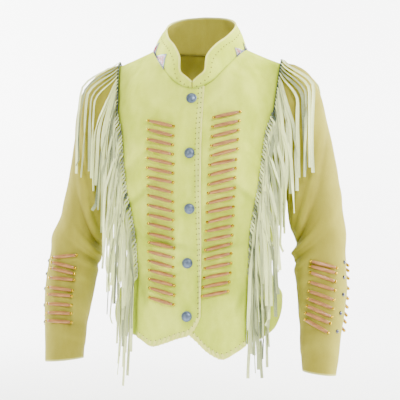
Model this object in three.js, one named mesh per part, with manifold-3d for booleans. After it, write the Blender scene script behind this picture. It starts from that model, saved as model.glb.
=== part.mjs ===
// A fringed suede jacket, filled out as it is when worn, in millimetres.
// +Z is up, the fronts face -Y, and +X is the wearer's left.
// The origin is level with the shoulder points, midway between them.
import * as THREE from 'three';
import { mergeVertices } from 'three/addons/utils/BufferGeometryUtils.js';
import Module from 'manifold-3d';

const wasm = await Module();
wasm.setup();

const { PI, cos, sin, sqrt, min, max, abs, exp } = Math;

// Driving sizes
const SUEDE = 2.0; // thickness of the cloth
const SEAM_GAP = 0.4; // between two pieces at a seam
const SHOULDER = { x: 176, z: -6 };
const NECK_SIDE = { x: 100, z: 26 };
const ARMPIT_Z = -288;
const SIDE_HEM_Z = -495;
const OVERLAP_EDGE = { top: 29, hem: 23, hemZ: -520 }; // how far the right front crosses the middle
const UNDERLAP_EDGE = -12; // the wearer's left front goes on under it
const UNDERLAP = { recess: 3.8, from: 33, over: 32 }; // how deep it lies there, and its way out
const CLOSING_X = -5; // line of the snaps
const CLOSING_TOP_Z = -60; // the closing edge meets the neckline
const JUNCTION_Z = -108; // the fringed seam leaves the armhole
const SEAM_FOOT_Z = -580; // the fringed seam meets the hem
const POINT_Z = -560; // the closing edge meets the hem
const SIDE_HEM_X = 178;

// Half width and the depths in front and behind, down the body
const BODY_ROWS = [
  { z: 60, halfWidth: 188, front: 118, back: 98 },
  { z: -110, halfWidth: 187, front: 124, back: 108 },
  { z: -210, halfWidth: 186, front: 128, back: 107 },
  { z: -288, halfWidth: 184, front: 126, back: 99 },
  { z: -330, halfWidth: 172, front: 122, back: 92 },
  { z: -395, halfWidth: 159, front: 117, back: 85 },
  { z: -445, halfWidth: 155, front: 115, back: 87 },
  { z: -470, halfWidth: 161, front: 116, back: 93 },
  { z: -495, halfWidth: 177, front: 119, back: 101 },
  { z: -560, halfWidth: 186, front: 125, back: 111 },
  { z: -700, halfWidth: 190, front: 131, back: 118 },
];

// The shoulder line, carried on across the neck
const RIDGE_ROWS = [
  { x: 0, z: 62 },
  { x: 50, z: 52 },
  { x: 100, z: 26 },
  { x: 140, z: 8 },
  { x: 160, z: 0 },
  { x: 176, z: -6 },
  { x: 200, z: -12 },
];

const FRONT_NECK_ROWS = [
  { x: 0, z: -63 },
  { x: 20, z: -58 },
  { x: 45, z: -42 },
  { x: 72, z: -10 },
  { x: 90, z: 14 },
  { x: 100, z: 26 },
];

const BACK_NECK_ROWS = [
  { x: 0, z: 22 },
  { x: 40, z: 23 },
  { x: 75, z: 25 },
  { x: 100, z: 26 },
];

// Where the armhole runs, seen from the front
const ARMHOLE_ROWS = [
  { z: -6, x: 176 },
  { z: -60, x: 171 },
  { z: -108, x: 167 },
  { z: -160, x: 165 },
  { z: -210, x: 167 },
  { z: -255, x: 175 },
  { z: -288, x: 184 },
];

// The seam down the front that holds the fringe, from the armhole to the hem
const FRINGE_SEAM_ROWS = [
  { z: -108, x: 167 },
  { z: -157, x: 156 },
  { z: -217, x: 149 },
  { z: -265, x: 143 },
  { z: -361, x: 126 },
  { z: -460, x: 120 },
  { z: -600, x: 116 },
];

// Hems: each front dips to a point, and the side seams end high
const RIGHT_HEM_ROWS = [
  { x: -29, z: -516 },
  { x: -23, z: -532 },
  { x: -16, z: -551 },
  { x: -6, z: -568 },
  { x: 4, z: -577 },
  { x: 28, z: -584 },
  { x: 52, z: -593 },
  { x: 80, z: -600 },
  { x: 104, z: -587 },
  { x: 118, z: -579 },
  { x: 146, z: -560 },
  { x: 162, z: -534 },
  { x: 178, z: -495 },
];

const LEFT_HEM_ROWS = [
  { x: -12, z: -562 },
  { x: 0, z: -576 },
  { x: 16, z: -590 },
  { x: 32, z: -606 },
  { x: 52, z: -619 },
  { x: 70, z: -624 },
  { x: 91, z: -613 },
  { x: 118, z: -594 },
  { x: 146, z: -567 },
  { x: 160, z: -540 },
  { x: 178, z: -495 },
];

const BACK_HEM_ROWS = [
  { x: 0, z: -566 },
  { x: 60, z: -560 },
  { x: 120, z: -536 },
  { x: 178, z: -495 },
];

// Soft folds of the body: place, direction from level, reach along and across, and height
const BODY_FOLDS = [
  { face: 'front', x: 104, z: -240, turn: -54, along: 62, across: 20, high: 6 },
  { face: 'front', x: -106, z: -250, turn: 52, along: 60, across: 20, high: 5.5 },
  { face: 'front', x: 84, z: -425, turn: 14, along: 40, across: 24, high: 4 },
  { face: 'front', x: -78, z: -410, turn: -12, along: 42, across: 22, high: 4.5 },
  { face: 'front', x: 84, z: -565, turn: 84, along: 60, across: 20, high: 6 },
  { face: 'front', x: -84, z: -550, turn: -84, along: 55, across: 20, high: 5 },
  { face: 'front', x: 116, z: -66, turn: -68, along: 45, across: 18, high: 3 },
  { face: 'front', x: -116, z: -62, turn: 66, along: 42, across: 18, high: 3 },
  { face: 'back', x: 92, z: -130, turn: -58, along: 80, across: 22, high: 6 },
  { face: 'back', x: -96, z: -140, turn: 55, along: 75, across: 22, high: 5.5 },
  { face: 'back', x: 40, z: -385, turn: 6, along: 90, across: 24, high: 6 },
  { face: 'back', x: -46, z: -440, turn: -8, along: 85, across: 24, high: 5.5 },
  { face: 'back', x: 96, z: -320, turn: 30, along: 60, across: 22, high: 5 },
  { face: 'back', x: -100, z: -340, turn: -28, along: 58, across: 22, high: 5 },
  { face: 'back', x: 66, z: -515, turn: 82, along: 70, across: 24, high: 8 },
  { face: 'back', x: -60, z: -520, turn: -84, along: 72, across: 24, high: 8 },
  { face: 'back', x: 4, z: -525, turn: 90, along: 65, across: 20, high: -5 },
];

// Sleeves: the outer and inner silhouette points of each ring, how far it lies forward or
// back, and its half depth. The first ring is the armhole itself and isn't listed.
const RIGHT_SLEEVE_ROWS = [
  { outX: 203, outZ: -13, inX: 188, inZ: -291, y: 0, depth: 60 },
  { outX: 226, outZ: -29, inX: 192, inZ: -299, y: 1, depth: 61 },
  { outX: 246, outZ: -48, inX: 195, inZ: -310, y: 2, depth: 61 },
  { outX: 261, outZ: -74, inX: 197, inZ: -322, y: 3, depth: 61 },
  { outX: 270, outZ: -112, inX: 199, inZ: -336, y: 4, depth: 60 },
  { outX: 274, outZ: -158, inX: 202, inZ: -350, y: 4, depth: 59 },
  { outX: 281, outZ: -208, inX: 207, inZ: -364, y: 4, depth: 58 },
  { outX: 290, outZ: -260, inX: 212, inZ: -377, y: 3, depth: 57 },
  { outX: 300, outZ: -314, inX: 217, inZ: -390, y: 1, depth: 57 },
  { outX: 312, outZ: -354, inX: 219, inZ: -403, y: -2, depth: 56 },
  { outX: 322, outZ: -384, inX: 221, inZ: -418, y: -7, depth: 54 },
  { outX: 325, outZ: -412, inX: 222, inZ: -435, y: -13, depth: 53 },
  { outX: 328, outZ: -440, inX: 224, inZ: -455, y: -21, depth: 51 },
  { outX: 330, outZ: -470, inX: 227, inZ: -480, y: -30, depth: 50 },
  { outX: 329, outZ: -504, inX: 231, inZ: -509, y: -42, depth: 48 },
  { outX: 326, outZ: -540, inX: 234, inZ: -541, y: -55, depth: 46 },
  { outX: 322, outZ: -575, inX: 236, inZ: -574, y: -68, depth: 44 },
  { outX: 318, outZ: -608, inX: 237, inZ: -604, y: -80, depth: 42 },
  { outX: 315, outZ: -638, inX: 237, inZ: -631, y: -90, depth: 40 },
];

const LEFT_SLEEVE_ROWS = [
  { outX: 203, outZ: -12, inX: 188, inZ: -291, y: 0, depth: 60 },
  { outX: 225, outZ: -24, inX: 190, inZ: -299, y: 1, depth: 61 },
  { outX: 242, outZ: -42, inX: 191, inZ: -310, y: 2, depth: 61 },
  { outX: 255, outZ: -70, inX: 192, inZ: -322, y: 3, depth: 61 },
  { outX: 266, outZ: -108, inX: 193, inZ: -335, y: 4, depth: 60 },
  { outX: 276, outZ: -152, inX: 195, inZ: -347, y: 4, depth: 59 },
  { outX: 287, outZ: -202, inX: 199, inZ: -359, y: 4, depth: 58 },
  { outX: 296, outZ: -254, inX: 205, inZ: -371, y: 3, depth: 57 },
  { outX: 303, outZ: -306, inX: 209, inZ: -384, y: 1, depth: 57 },
  { outX: 308, outZ: -348, inX: 208, inZ: -398, y: -2, depth: 55 },
  { outX: 309, outZ: -382, inX: 206, inZ: -414, y: -7, depth: 53 },
  { outX: 311, outZ: -412, inX: 206, inZ: -433, y: -13, depth: 51 },
  { outX: 314, outZ: -442, inX: 209, inZ: -455, y: -21, depth: 50 },
  { outX: 315, outZ: -476, inX: 214, inZ: -482, y: -31, depth: 48 },
  { outX: 313, outZ: -514, inX: 219, inZ: -514, y: -44, depth: 46 },
  { outX: 309, outZ: -552, inX: 222, inZ: -549, y: -57, depth: 44 },
  { outX: 305, outZ: -589, inX: 225, inZ: -584, y: -70, depth: 42 },
  { outX: 302, outZ: -624, inX: 228, inZ: -617, y: -81, depth: 40 },
  { outX: 299, outZ: -656, inX: 231, inZ: -647, y: -91, depth: 38 },
];

// Sleeve folds: ring and angle of the middle, rings that it drifts over in a quarter turn,
// reach round the sleeve in degrees and across in rings, and height. The angle is 0 on the
// outside of the arm, 90 in front and 180 inside.
const SLEEVE_FOLDS = [
  { ring: 9.2, angle: 150, drift: 1.6, round: 62, across: 0.55, high: -6 },
  { ring: 10.4, angle: 160, drift: 1.2, round: 58, across: 0.5, high: 6 },
  { ring: 11.5, angle: 155, drift: 1.5, round: 60, across: 0.5, high: -5 },
  { ring: 8.0, angle: 120, drift: 2.4, round: 60, across: 0.6, high: 4 },
  { ring: 5.2, angle: 105, drift: 2.6, round: 55, across: 0.8, high: 3.5 },
  { ring: 10.6, angle: 15, drift: -1.2, round: 50, across: 0.7, high: 4 },
  { ring: 9.4, angle: 215, drift: -1.8, round: 55, across: 0.6, high: 5 },
  { ring: 6.0, angle: 250, drift: -2.6, round: 60, across: 0.9, high: 4 },
  { ring: 15.4, angle: 130, drift: 0.7, round: 60, across: 0.55, high: 3 },
];

// The free edge of the collar, by the angle round the neck from the closing
const COLLAR_ROWS = [
  { angle: 0, x: 0, y: -95, z: -45 },
  { angle: 10, x: 12, y: -96, z: -43 },
  { angle: 22, x: 26, y: -95, z: -28 },
  { angle: 38, x: 29, y: -86, z: 4 },
  { angle: 55, x: 44, y: -64, z: 29 },
  { angle: 72, x: 64, y: -30, z: 51 },
  { angle: 90, x: 75, y: 6, z: 73 },
  { angle: 115, x: 70, y: 38, z: 89 },
  { angle: 145, x: 44, y: 60, z: 100 },
  { angle: 180, x: 0, y: 68, z: 104 },
];

const COLLAR = { gap: 1, wall: 2.6, bulge: 5, steps: 26, rows: 4 };

// Fringe: strands cut from a strip, hanging from the armhole seam and the front seam
const FRINGE = {
  width: 8.6, thick: 1.3, long: 222, pitch: 12.5,
  backZ: -62, lastZ: -462, pastJunction: 24, // where the roots begin and end
  lane: 7.7, lanes: 3, // strands settle side by side, in the lanes near their roots
  shingle: 0.15, settle: 44, drift: 0.032, // how far each strand stands off the ones below
  stripWide: 4.2, stripThick: 1.2, stripOff: 1.2, overArmhole: 2.8, overShoulder: 3.8,
  root: 0.42, // width and thickness where a strand leaves the strip, as a share
  clear: 4.4, // over the folds of what the strands lie on
  fan: 10, fanned: 6, // the strands of the shoulder spread over the sleeve
};

const HAIR_PIPE = {
  off: 0.5, long: 50.8, middle: 3.6, end: 2.3, // half widths in the middle and at the ends
  sides: 6, sleeveSides: 5, count: 20,
};
const RIGHT_PIPE_COLUMN = { topX: -62, hemX: -65, topZ: -139, hemZ: -507 };
const LEFT_PIPE_COLUMN = { topX: 76, hemX: 57, topZ: -122, hemZ: -491 };
const PIPE_TILT = 13; // degrees, lower towards the closing

// Hair pipes sewn across the forearm, in two columns
const SLEEVE_PIPES = { count: 9, firstRing: 11.9, lastRing: 16.1, angles: [72, -42], sink: 0.6 };

const SNAP = { off: 0.7, radius: 11.2, rim: 1.4, high: 3.6, sides: 15 };
const SNAP_HEIGHTS = [-85, -200, -315, -428, -538];

const COLOURS = {
  suede: 0xdedea0,
  suedeShade: 0xd2d294,
  fringe: 0xd3d8ba,
  bone: 0xcf9f78,
  pewter: 0x6e7d92,
};

// A smooth curve through one column of a table against another
function curve(rows, from, to) {
  const points = rows.map(row => [row[from], row[to]]).sort((a, b) => a[0] - b[0]);
  const last = points.length - 1;
  const slope = i => {
    const before = points[max(i - 1, 0)];
    const after = points[min(i + 1, last)];
    return (after[1] - before[1]) / (after[0] - before[0]);
  };
  return at => {
    if (at <= points[0][0]) return points[0][1];
    if (at >= points[last][0]) return points[last][1];
    const i = points.findIndex((point, k) => k < last && at <= points[k + 1][0]);
    const step = points[i + 1][0] - points[i][0];
    const t = (at - points[i][0]) / step;
    return points[i][1] * (1 + 2 * t) * (1 - t) ** 2
      + points[i + 1][1] * t * t * (3 - 2 * t)
      + step * slope(i) * t * (1 - t) ** 2
      - step * slope(i + 1) * t * t * (1 - t);
  };
}

const lerp = (a, b, t) => a + (b - a) * t;
const clamp = (value, low, high) => min(max(value, low), high);
const smooth = t => {
  const s = clamp(t, 0, 1);
  return s * s * (3 - 2 * s);
};
const radians = degrees => degrees * PI / 180;

const halfWidthAt = curve(BODY_ROWS, 'z', 'halfWidth');
const ridgeAt = curve(RIDGE_ROWS, 'x', 'z');
const armholeAt = curve(ARMHOLE_ROWS, 'z', 'x');
const fringeSeamAt = curve(FRINGE_SEAM_ROWS, 'z', 'x');

// Each face bends in towards the shoulder line from its own height up
const FACES = {
  front: { sign: -1, depth: curve(BODY_ROWS, 'z', 'front'), chest: -210, lean: 0.7 },
  back: { sign: 1, depth: curve(BODY_ROWS, 'z', 'back'), chest: -150, lean: 0.5 },
};

const SQUARE = 0.25; // how far the section is squared off from an ellipse

function foldHeight(face, x, z) {
  let total = 0;
  for (const fold of BODY_FOLDS) {
    if (fold.face !== face) continue;
    const turn = radians(fold.turn);
    const along = (x - fold.x) * cos(turn) + (z - fold.z) * sin(turn);
    const across = (z - fold.z) * cos(turn) - (x - fold.x) * sin(turn);
    total += fold.high * exp(-((along / fold.along) ** 2) - (across / fold.across) ** 2);
  }
  return total;
}

// The outward direction of the body, without its folds
function bodyNormal(face, x, z) {
  const { sign, depth, chest } = FACES[face];
  const width = halfWidthAt(z);
  const across = clamp(x / width, -1, 1);
  const high = ridgeAt(abs(x)) - chest;
  const rise = clamp((z - chest) / high, 0, 1);
  const y = sqrt(1 - across * across) * sqrt(1 - rise * rise);
  return new THREE.Vector3(
    across * (1 - rise * rise) / width,
    sign * y / depth(z),
    (1 - across * across) * rise / high,
  ).normalize();
}

// A point of the cloth's outside, from its place seen from the front
function bodyPoint(face, x, z, folded = true) {
  const { sign, depth, chest, lean } = FACES[face];
  const across = clamp(x / halfWidthAt(z), -1, 1);
  const rise = clamp((z - chest) / (ridgeAt(abs(x)) - chest), 0, 1);
  const round = sqrt(1 - across * across) * (1 + SQUARE * across * across);
  const y = sign * (depth(z) * round * (1 - rise * rise) ** lean + SEAM_GAP / 2);
  if (!folded) return new THREE.Vector3(x, y, z);
  const fold = foldHeight(face, x, z) * (1 - across ** 8) * (1 - rise ** 8);
  return new THREE.Vector3(x, y, z).addScaledVector(bodyNormal(face, x, z), fold);
}

// The same for the wearer's left front, which dips where it lies under the other
function frontPoint(x, z) {
  const point = bodyPoint('front', x, z);
  point.y += UNDERLAP.recess * (1 - smooth((x - UNDERLAP.from) / UNDERLAP.over));
  return point;
}

// A closed wall between a sheet of points and its copy moved inwards. The sheet is a
// function of two parameters that run from 0 to 1.
function wall(sheet, across, up, thickness, { tube = false, flip = false } = {}) {
  const columns = tube ? across.slice(0, -1) : across;
  const outer = [];
  const inner = [];
  const reach = 0.004; // share of the sheet over which its direction is taken
  for (const v of up) {
    for (const u of columns) {
      const point = sheet(u, v);
      const du = sheet(tube ? u + reach : min(u + reach, 1), v)
        .sub(sheet(tube ? u - reach : max(u - reach, 0), v));
      const dv = sheet(u, min(v + reach, 1)).sub(sheet(u, max(v - reach, 0)));
      const normal = du.cross(dv).normalize().multiplyScalar(flip ? -1 : 1);
      outer.push(point);
      inner.push(point.clone().addScaledVector(normal, -thickness));
    }
  }
  const wide = columns.length;
  const high = up.length;
  const count = wide * high;
  const triangles = [];
  const quad = (a, b, c, d) => {
    const corners = flip ? [d, c, b, a] : [a, b, c, d];
    triangles.push(corners[0], corners[1], corners[2], corners[0], corners[2], corners[3]);
  };
  const at = (i, j) => j * wide + (i % wide);
  const spans = tube ? wide : wide - 1;
  for (let j = 0; j < high - 1; j += 1) {
    for (let i = 0; i < spans; i += 1) {
      quad(at(i, j), at(i + 1, j), at(i + 1, j + 1), at(i, j + 1));
      quad(count + at(i, j), count + at(i, j + 1), count + at(i + 1, j + 1), count + at(i + 1, j));
    }
  }
  for (let i = 0; i < spans; i += 1) {
    quad(count + at(i, 0), count + at(i + 1, 0), at(i + 1, 0), at(i, 0));
    const top = high - 1;
    quad(at(i, top), at(i + 1, top), count + at(i + 1, top), count + at(i, top));
  }
  if (!tube) {
    for (let j = 0; j < high - 1; j += 1) {
      quad(count + at(0, j), at(0, j), at(0, j + 1), count + at(0, j + 1));
      quad(at(wide - 1, j), count + at(wide - 1, j), count + at(wide - 1, j + 1), at(wide - 1, j + 1));
    }
  }
  return solid([...outer, ...inner], triangles);
}

// A mesh from its corners and triangles
function solid(points, triangles) {
  const geometry = new THREE.BufferGeometry();
  geometry.setAttribute('position', new THREE.Float32BufferAttribute(points.flatMap(p => p.toArray()), 3));
  geometry.setIndex(triangles);
  return geometry;
}

const steps = (from, to, count) => Array.from({ length: count + 1 }, (_, i) => lerp(from, to, i / count));

// Rows of a panel: those below the chest go down to the hem in equal parts, and those
// above go up to the neck and shoulder in equal angles.
const ROWS_BELOW = 11;
const ROWS_ABOVE = 6;
const PANEL_ROWS = steps(0, 1, ROWS_BELOW + ROWS_ABOVE);
const TURNING = ROWS_BELOW / (ROWS_BELOW + ROWS_ABOVE);

function panelHeight(v, chest, hem, top) {
  if (v <= TURNING) return lerp(hem, chest, v / TURNING);
  return chest + (top - chest) * sin((v - TURNING) / (1 - TURNING) * PI / 2);
}

// A front, from its closing edge to the armhole and the fringed seam. It's drawn on the
// wearer's left, and side is -1 on the wearer's right.
function frontPanel(side, edgeAt, hemRows) {
  const hem = curve(hemRows, 'x', 'z');
  const neck = curve(FRONT_NECK_ROWS, 'x', 'z');
  const { chest } = FACES.front;
  const outline = x => (x < NECK_SIDE.x ? neck(abs(x)) : ridgeAt(x));
  const edgeOfSide = z => (z > JUNCTION_Z ? armholeAt(z) : fringeSeamAt(z));
  const seam = z => min(edgeOfSide(z), SHOULDER.x) - SEAM_GAP / 2;
  const footX = seam(SEAM_FOOT_Z);
  const neckX = edgeAt(CLOSING_TOP_Z);
  const sheet = (u, v) => {
    const hemX = lerp(edgeAt(POINT_Z), footX, u);
    const topX = lerp(neckX, SHOULDER.x, u);
    const z0 = panelHeight(v, chest, hem(footX), SHOULDER.z);
    const z = panelHeight(v, chest, hem(hemX), outline(topX));
    const x = lerp(edgeAt(z0), seam(z0), u);
    return side < 0 ? bodyPoint('front', -x, z) : frontPoint(x, z);
  };
  const neckShare = (NECK_SIDE.x - neckX) / (SHOULDER.x - neckX);
  const across = [...steps(0, neckShare, 8), ...steps(neckShare, 1, 4).slice(1)];
  return wall(sheet, across, PANEL_ROWS, SUEDE, { flip: side < 0 });
}

// The side front, from the fringed seam to the side seam, under the armhole
function sidePanel(side, hemRows) {
  const hem = curve(hemRows, 'x', 'z');
  const { chest } = FACES.front;
  const topRow = (ROWS_BELOW + 2) / (ROWS_BELOW + ROWS_ABOVE);
  const seamX = z => fringeSeamAt(z) + SEAM_GAP / 2;
  const seamHemX = seamX(SEAM_FOOT_Z);
  const topLeft = panelHeight(topRow, chest, 0, SHOULDER.z);
  const sideTop = ARMPIT_Z - 7 * SEAM_GAP;
  const angleAt = (x, z) => Math.asin(clamp(x / halfWidthAt(z), -1, 1));
  const share = (x, z) => (angleAt(x, z) - angleAt(seamX(z), z)) / (PI / 2 - angleAt(seamX(z), z));
  const sheet = (u, v) => {
    const topZ = lerp(topLeft, sideTop, u);
    const leftZ = panelHeight(v * topRow, chest, hem(seamHemX), SHOULDER.z);
    const rightZ = lerp(SIDE_HEM_Z, sideTop, v);
    const hemX = lerp(seamHemX, SIDE_HEM_X, u);
    const hemLift = hem(hemX) - lerp(hem(seamHemX), SIDE_HEM_Z, u);
    const z = lerp(leftZ, rightZ, u) + hemLift * (1 - v) ** 2;
    const part = lerp(u, max(share(armholeAt(topZ), topZ), 0.05 * u), v * v);
    const x = halfWidthAt(z) * sin(lerp(angleAt(seamX(z), z), PI / 2, clamp(part, 0, 1)));
    return bodyPoint('front', side * x, z);
  };
  return wall(sheet, steps(0, 1, 6), steps(0, 1, ROWS_BELOW + 2), SUEDE, { flip: side < 0 });
}

function backPanel() {
  const hem = curve(BACK_HEM_ROWS, 'x', 'z');
  const neck = curve(BACK_NECK_ROWS, 'x', 'z');
  const { chest } = FACES.back;
  const outline = x => (x < NECK_SIDE.x ? neck(x) : ridgeAt(x));
  const edge = z => (z > ARMPIT_Z ? armholeAt(z) - SEAM_GAP / 2 : halfWidthAt(z));
  const sheet = (u, v) => {
    const part = 2 * u - 1;
    const z0 = panelHeight(v, chest, SIDE_HEM_Z, SHOULDER.z);
    const topX = abs(part) * SHOULDER.x;
    const z = panelHeight(v, chest, hem(abs(part) * SIDE_HEM_X), outline(topX));
    const turned = lerp(sin(part * PI / 2), part, smooth((v - 0.4) / 0.35));
    return bodyPoint('back', edge(z0) * turned, z);
  };
  const neckShare = NECK_SIDE.x / SHOULDER.x;
  const half = [...steps(0, neckShare, 4), ...steps(neckShare, 1, 4).slice(1)];
  const across = [...half.map(t => 0.5 - t / 2).reverse(), ...half.slice(1).map(t => 0.5 + t / 2)];
  return wall(sheet, across, PANEL_ROWS, SUEDE, { flip: true });
}

// The armhole loop, from the shoulder point forwards and down to the armpit
function armholePoint(angle) {
  const face = sin(angle) >= 0 ? 'front' : 'back';
  const z = lerp(ARMPIT_Z, SHOULDER.z, (1 + cos(angle)) / 2);
  const point = bodyPoint(face, armholeAt(z), z);
  point.x += 2 * SEAM_GAP;
  return point;
}

const SLEEVE_COLUMNS = ['outX', 'outZ', 'inX', 'inZ', 'y', 'depth'];

// A point of a sleeve's outside, for a ring number with parts and an angle. The wearer's
// left is drawn, and the right sleeve is its mirror image with its own table.
function sleeveShape(rows) {
  const numbered = rows.map((row, i) => ({ ...row, ring: i + 1 }));
  const curves = SLEEVE_COLUMNS.map(name => curve(numbered, 'ring', name));
  const ringPoint = (ring, angle) => {
    const [outX, outZ, inX, inZ, y, depth] = curves.map(value => value(ring));
    const reach = cos(angle);
    return new THREE.Vector3(
      lerp(inX, outX, (1 + reach) / 2),
      y - depth * sin(angle),
      lerp(inZ, outZ, (1 + reach) / 2),
    );
  };
  const fold = (ring, angle) => {
    let total = 0;
    for (const row of SLEEVE_FOLDS) {
      const turn = ((angle * 180 / PI - row.angle + 540) % 360) - 180;
      const middle = row.ring + row.drift * turn / 90;
      total += row.high * exp(-((turn / row.round) ** 2) - ((ring - middle) / row.across) ** 2);
    }
    return total;
  };
  return (ring, angle) => {
    const folded = 1 + fold(ring, angle) / 50;
    if (ring < 1) return armholePoint(angle).lerp(ringPoint(1, angle), ring);
    const point = ringPoint(ring, angle);
    const middle = ringPoint(ring, 0).add(ringPoint(ring, PI)).multiplyScalar(0.5);
    return point.sub(middle).multiplyScalar(folded).add(middle);
  };
}

const SHAPES = {
  left: { side: 1, sleeve: sleeveShape(LEFT_SLEEVE_ROWS) },
  right: { side: -1, sleeve: sleeveShape(RIGHT_SLEEVE_ROWS) },
};
const LAST_RING = RIGHT_SLEEVE_ROWS.length;
const mirrored = (point, side) => point.setX(point.x * side);

function sleeveWall({ side, sleeve }) {
  const sheet = (u, v) => mirrored(sleeve(v * LAST_RING, u * 2 * PI), side);
  const upperArm = steps(0, 8, 6);
  const elbow = steps(8, 12, 7).slice(1);
  const forearm = steps(12, LAST_RING, 5).slice(1);
  const up = [...upperArm, ...elbow, ...forearm].map(ring => ring / LAST_RING);
  return wall(sheet, steps(0, 1, 16), up, SUEDE, { tube: true, flip: side > 0 });
}

// The collar: a band from the neckline up to its free edge, bulging a little
function collarWall() {
  const neckFront = curve(FRONT_NECK_ROWS, 'x', 'z');
  const neckBack = curve(BACK_NECK_ROWS, 'x', 'z');
  const edge = ['x', 'y', 'z'].map(name => curve(COLLAR_ROWS, 'angle', name));
  const seamPoint = angle => {
    const x = NECK_SIDE.x * sin(radians(angle));
    if (angle < 90) return bodyPoint('front', x, neckFront(x));
    return bodyPoint('back', x, neckBack(x));
  };
  const sheet = (u, v) => {
    const turn = lerp(-179.2, 179.2, u);
    const angle = 180 - abs(turn);
    const side = turn < 0 ? -1 : 1;
    const from = seamPoint(angle);
    const to = new THREE.Vector3(...edge.map(value => value(angle)));
    const up = to.clone().sub(from);
    const share = lerp(COLLAR.gap / up.length(), 1, v);
    const out = new THREE.Vector3(sin(radians(angle)), -cos(radians(angle)), 0.2);
    const point = from.addScaledVector(up, share);
    point.addScaledVector(out, COLLAR.bulge * sin(PI * v) * min(up.length() / 70, 1));
    return mirrored(point, side);
  };
  return wall(sheet, steps(0, 1, COLLAR.steps), steps(0, 1, COLLAR.rows), COLLAR.wall, { flip: true });
}

// A tapered bead, laid along Y
function hairPipe(sides = HAIR_PIPE.sides) {
  const half = HAIR_PIPE.long / 2;
  const profile = [
    new THREE.Vector2(0, -half),
    new THREE.Vector2(HAIR_PIPE.end, -half),
    new THREE.Vector2(HAIR_PIPE.middle, 0),
    new THREE.Vector2(HAIR_PIPE.end, half),
    new THREE.Vector2(0, half),
  ];
  return new THREE.LatheGeometry(profile, sides);
}

// Turns a thing's own Y to one direction and its own Z to the side that faces out
function stand(mesh, point, along, out) {
  const y = along.clone().normalize();
  const x = y.clone().cross(out).normalize();
  const z = x.clone().cross(y);
  mesh.quaternion.setFromRotationMatrix(new THREE.Matrix4().makeBasis(x, y, z));
  mesh.position.copy(point);
  return mesh;
}

// Two steps over the surface at a place, and the direction out of it
function tangents(surface, a, b, step) {
  const alongA = surface(a + step, b).sub(surface(a - step, b));
  const alongB = surface(a, b + step).sub(surface(a, b - step));
  const out = alongA.clone().cross(alongB).normalize();
  return { alongA: alongA.normalize(), alongB: alongB.normalize(), out };
}

// Moves a bead along a direction until it lies just clear of the cloth
function seat(mesh, out, cloth) {
  for (let tries = 0; tries < 4; tries += 1) {
    const gap = toManifold(placed(mesh)).minGap(cloth, 10 * HAIR_PIPE.off);
    mesh.position.addScaledVector(out, HAIR_PIPE.off - gap);
  }
  return mesh;
}

function pipeColumn(column, side, cloth) {
  const surface = side > 0 ? frontPoint : (x, z) => bodyPoint('front', x, z);
  return Array.from({ length: HAIR_PIPE.count }, (_, i) => {
    const share = i / (HAIR_PIPE.count - 1);
    const x = lerp(column.topX, column.hemX, share);
    const z = lerp(column.topZ, column.hemZ, share);
    const { alongA, alongB, out } = tangents(surface, x, z, 14);
    const tilt = radians(PIPE_TILT) * side;
    const along = alongA.multiplyScalar(cos(tilt)).addScaledVector(alongB, sin(tilt));
    const point = surface(x, z).addScaledVector(out, HAIR_PIPE.middle + HAIR_PIPE.off);
    return seat(stand(new THREE.Mesh(hairPipe()), point, along, out), out, cloth);
  });
}

const toManifold = geometry => {
  const bare = geometry.clone();
  bare.deleteAttribute('normal');
  bare.deleteAttribute('uv');
  const merged = mergeVertices(bare, 1e-4);
  const vertProperties = new Float32Array(merged.attributes.position.array);
  const triVerts = new Uint32Array(merged.index.array);
  return new wasm.Manifold(new wasm.Mesh({ numProp: 3, vertProperties, triVerts }));
};

function fromManifold(body) {
  const mesh = body.getMesh();
  const geometry = new THREE.BufferGeometry();
  geometry.setAttribute('position', new THREE.BufferAttribute(new Float32Array(mesh.vertProperties), 3));
  geometry.setIndex(Array.from(mesh.triVerts));
  return geometry;
}

const placed = mesh => {
  mesh.updateMatrix();
  return mesh.geometry.clone().applyMatrix4(mesh.matrix);
};

// A sleeve with the hair pipes of its forearm standing on it
function sleeveGeometry(shape) {
  const { side, sleeve } = shape;
  const surface = (ring, angle) => mirrored(sleeve(ring, angle), side);
  const outwards = (ring, angle) => {
    const found = tangents(surface, ring, angle, 0.12);
    const middle = surface(ring, 0).add(surface(ring, PI)).multiplyScalar(0.5);
    const point = surface(ring, angle);
    if (found.out.dot(point.clone().sub(middle)) < 0) found.out.negate();
    return { ...found, point };
  };
  let body = toManifold(sleeveWall(shape));
  for (const angle of SLEEVE_PIPES.angles) {
    for (const share of steps(0, 1, SLEEVE_PIPES.count - 1)) {
      const ring = lerp(SLEEVE_PIPES.firstRing, SLEEVE_PIPES.lastRing, share);
      const { alongB, out, point } = outwards(ring, radians(angle));
      point.addScaledVector(out, HAIR_PIPE.middle - SLEEVE_PIPES.sink);
      const pipe = new THREE.Mesh(hairPipe(HAIR_PIPE.sleeveSides));
      body = body.add(toManifold(placed(stand(pipe, point, alongB, out))));
    }
  }
  return fromManifold(body);
}

function snapGeometry() {
  const profile = [
    new THREE.Vector2(0, 0),
    new THREE.Vector2(SNAP.radius, 0),
    new THREE.Vector2(SNAP.radius, SNAP.rim),
    new THREE.Vector2(SNAP.radius * 0.72, SNAP.high * 0.82),
    new THREE.Vector2(0, SNAP.high),
  ];
  return new THREE.LatheGeometry(profile, SNAP.sides);
}

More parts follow.
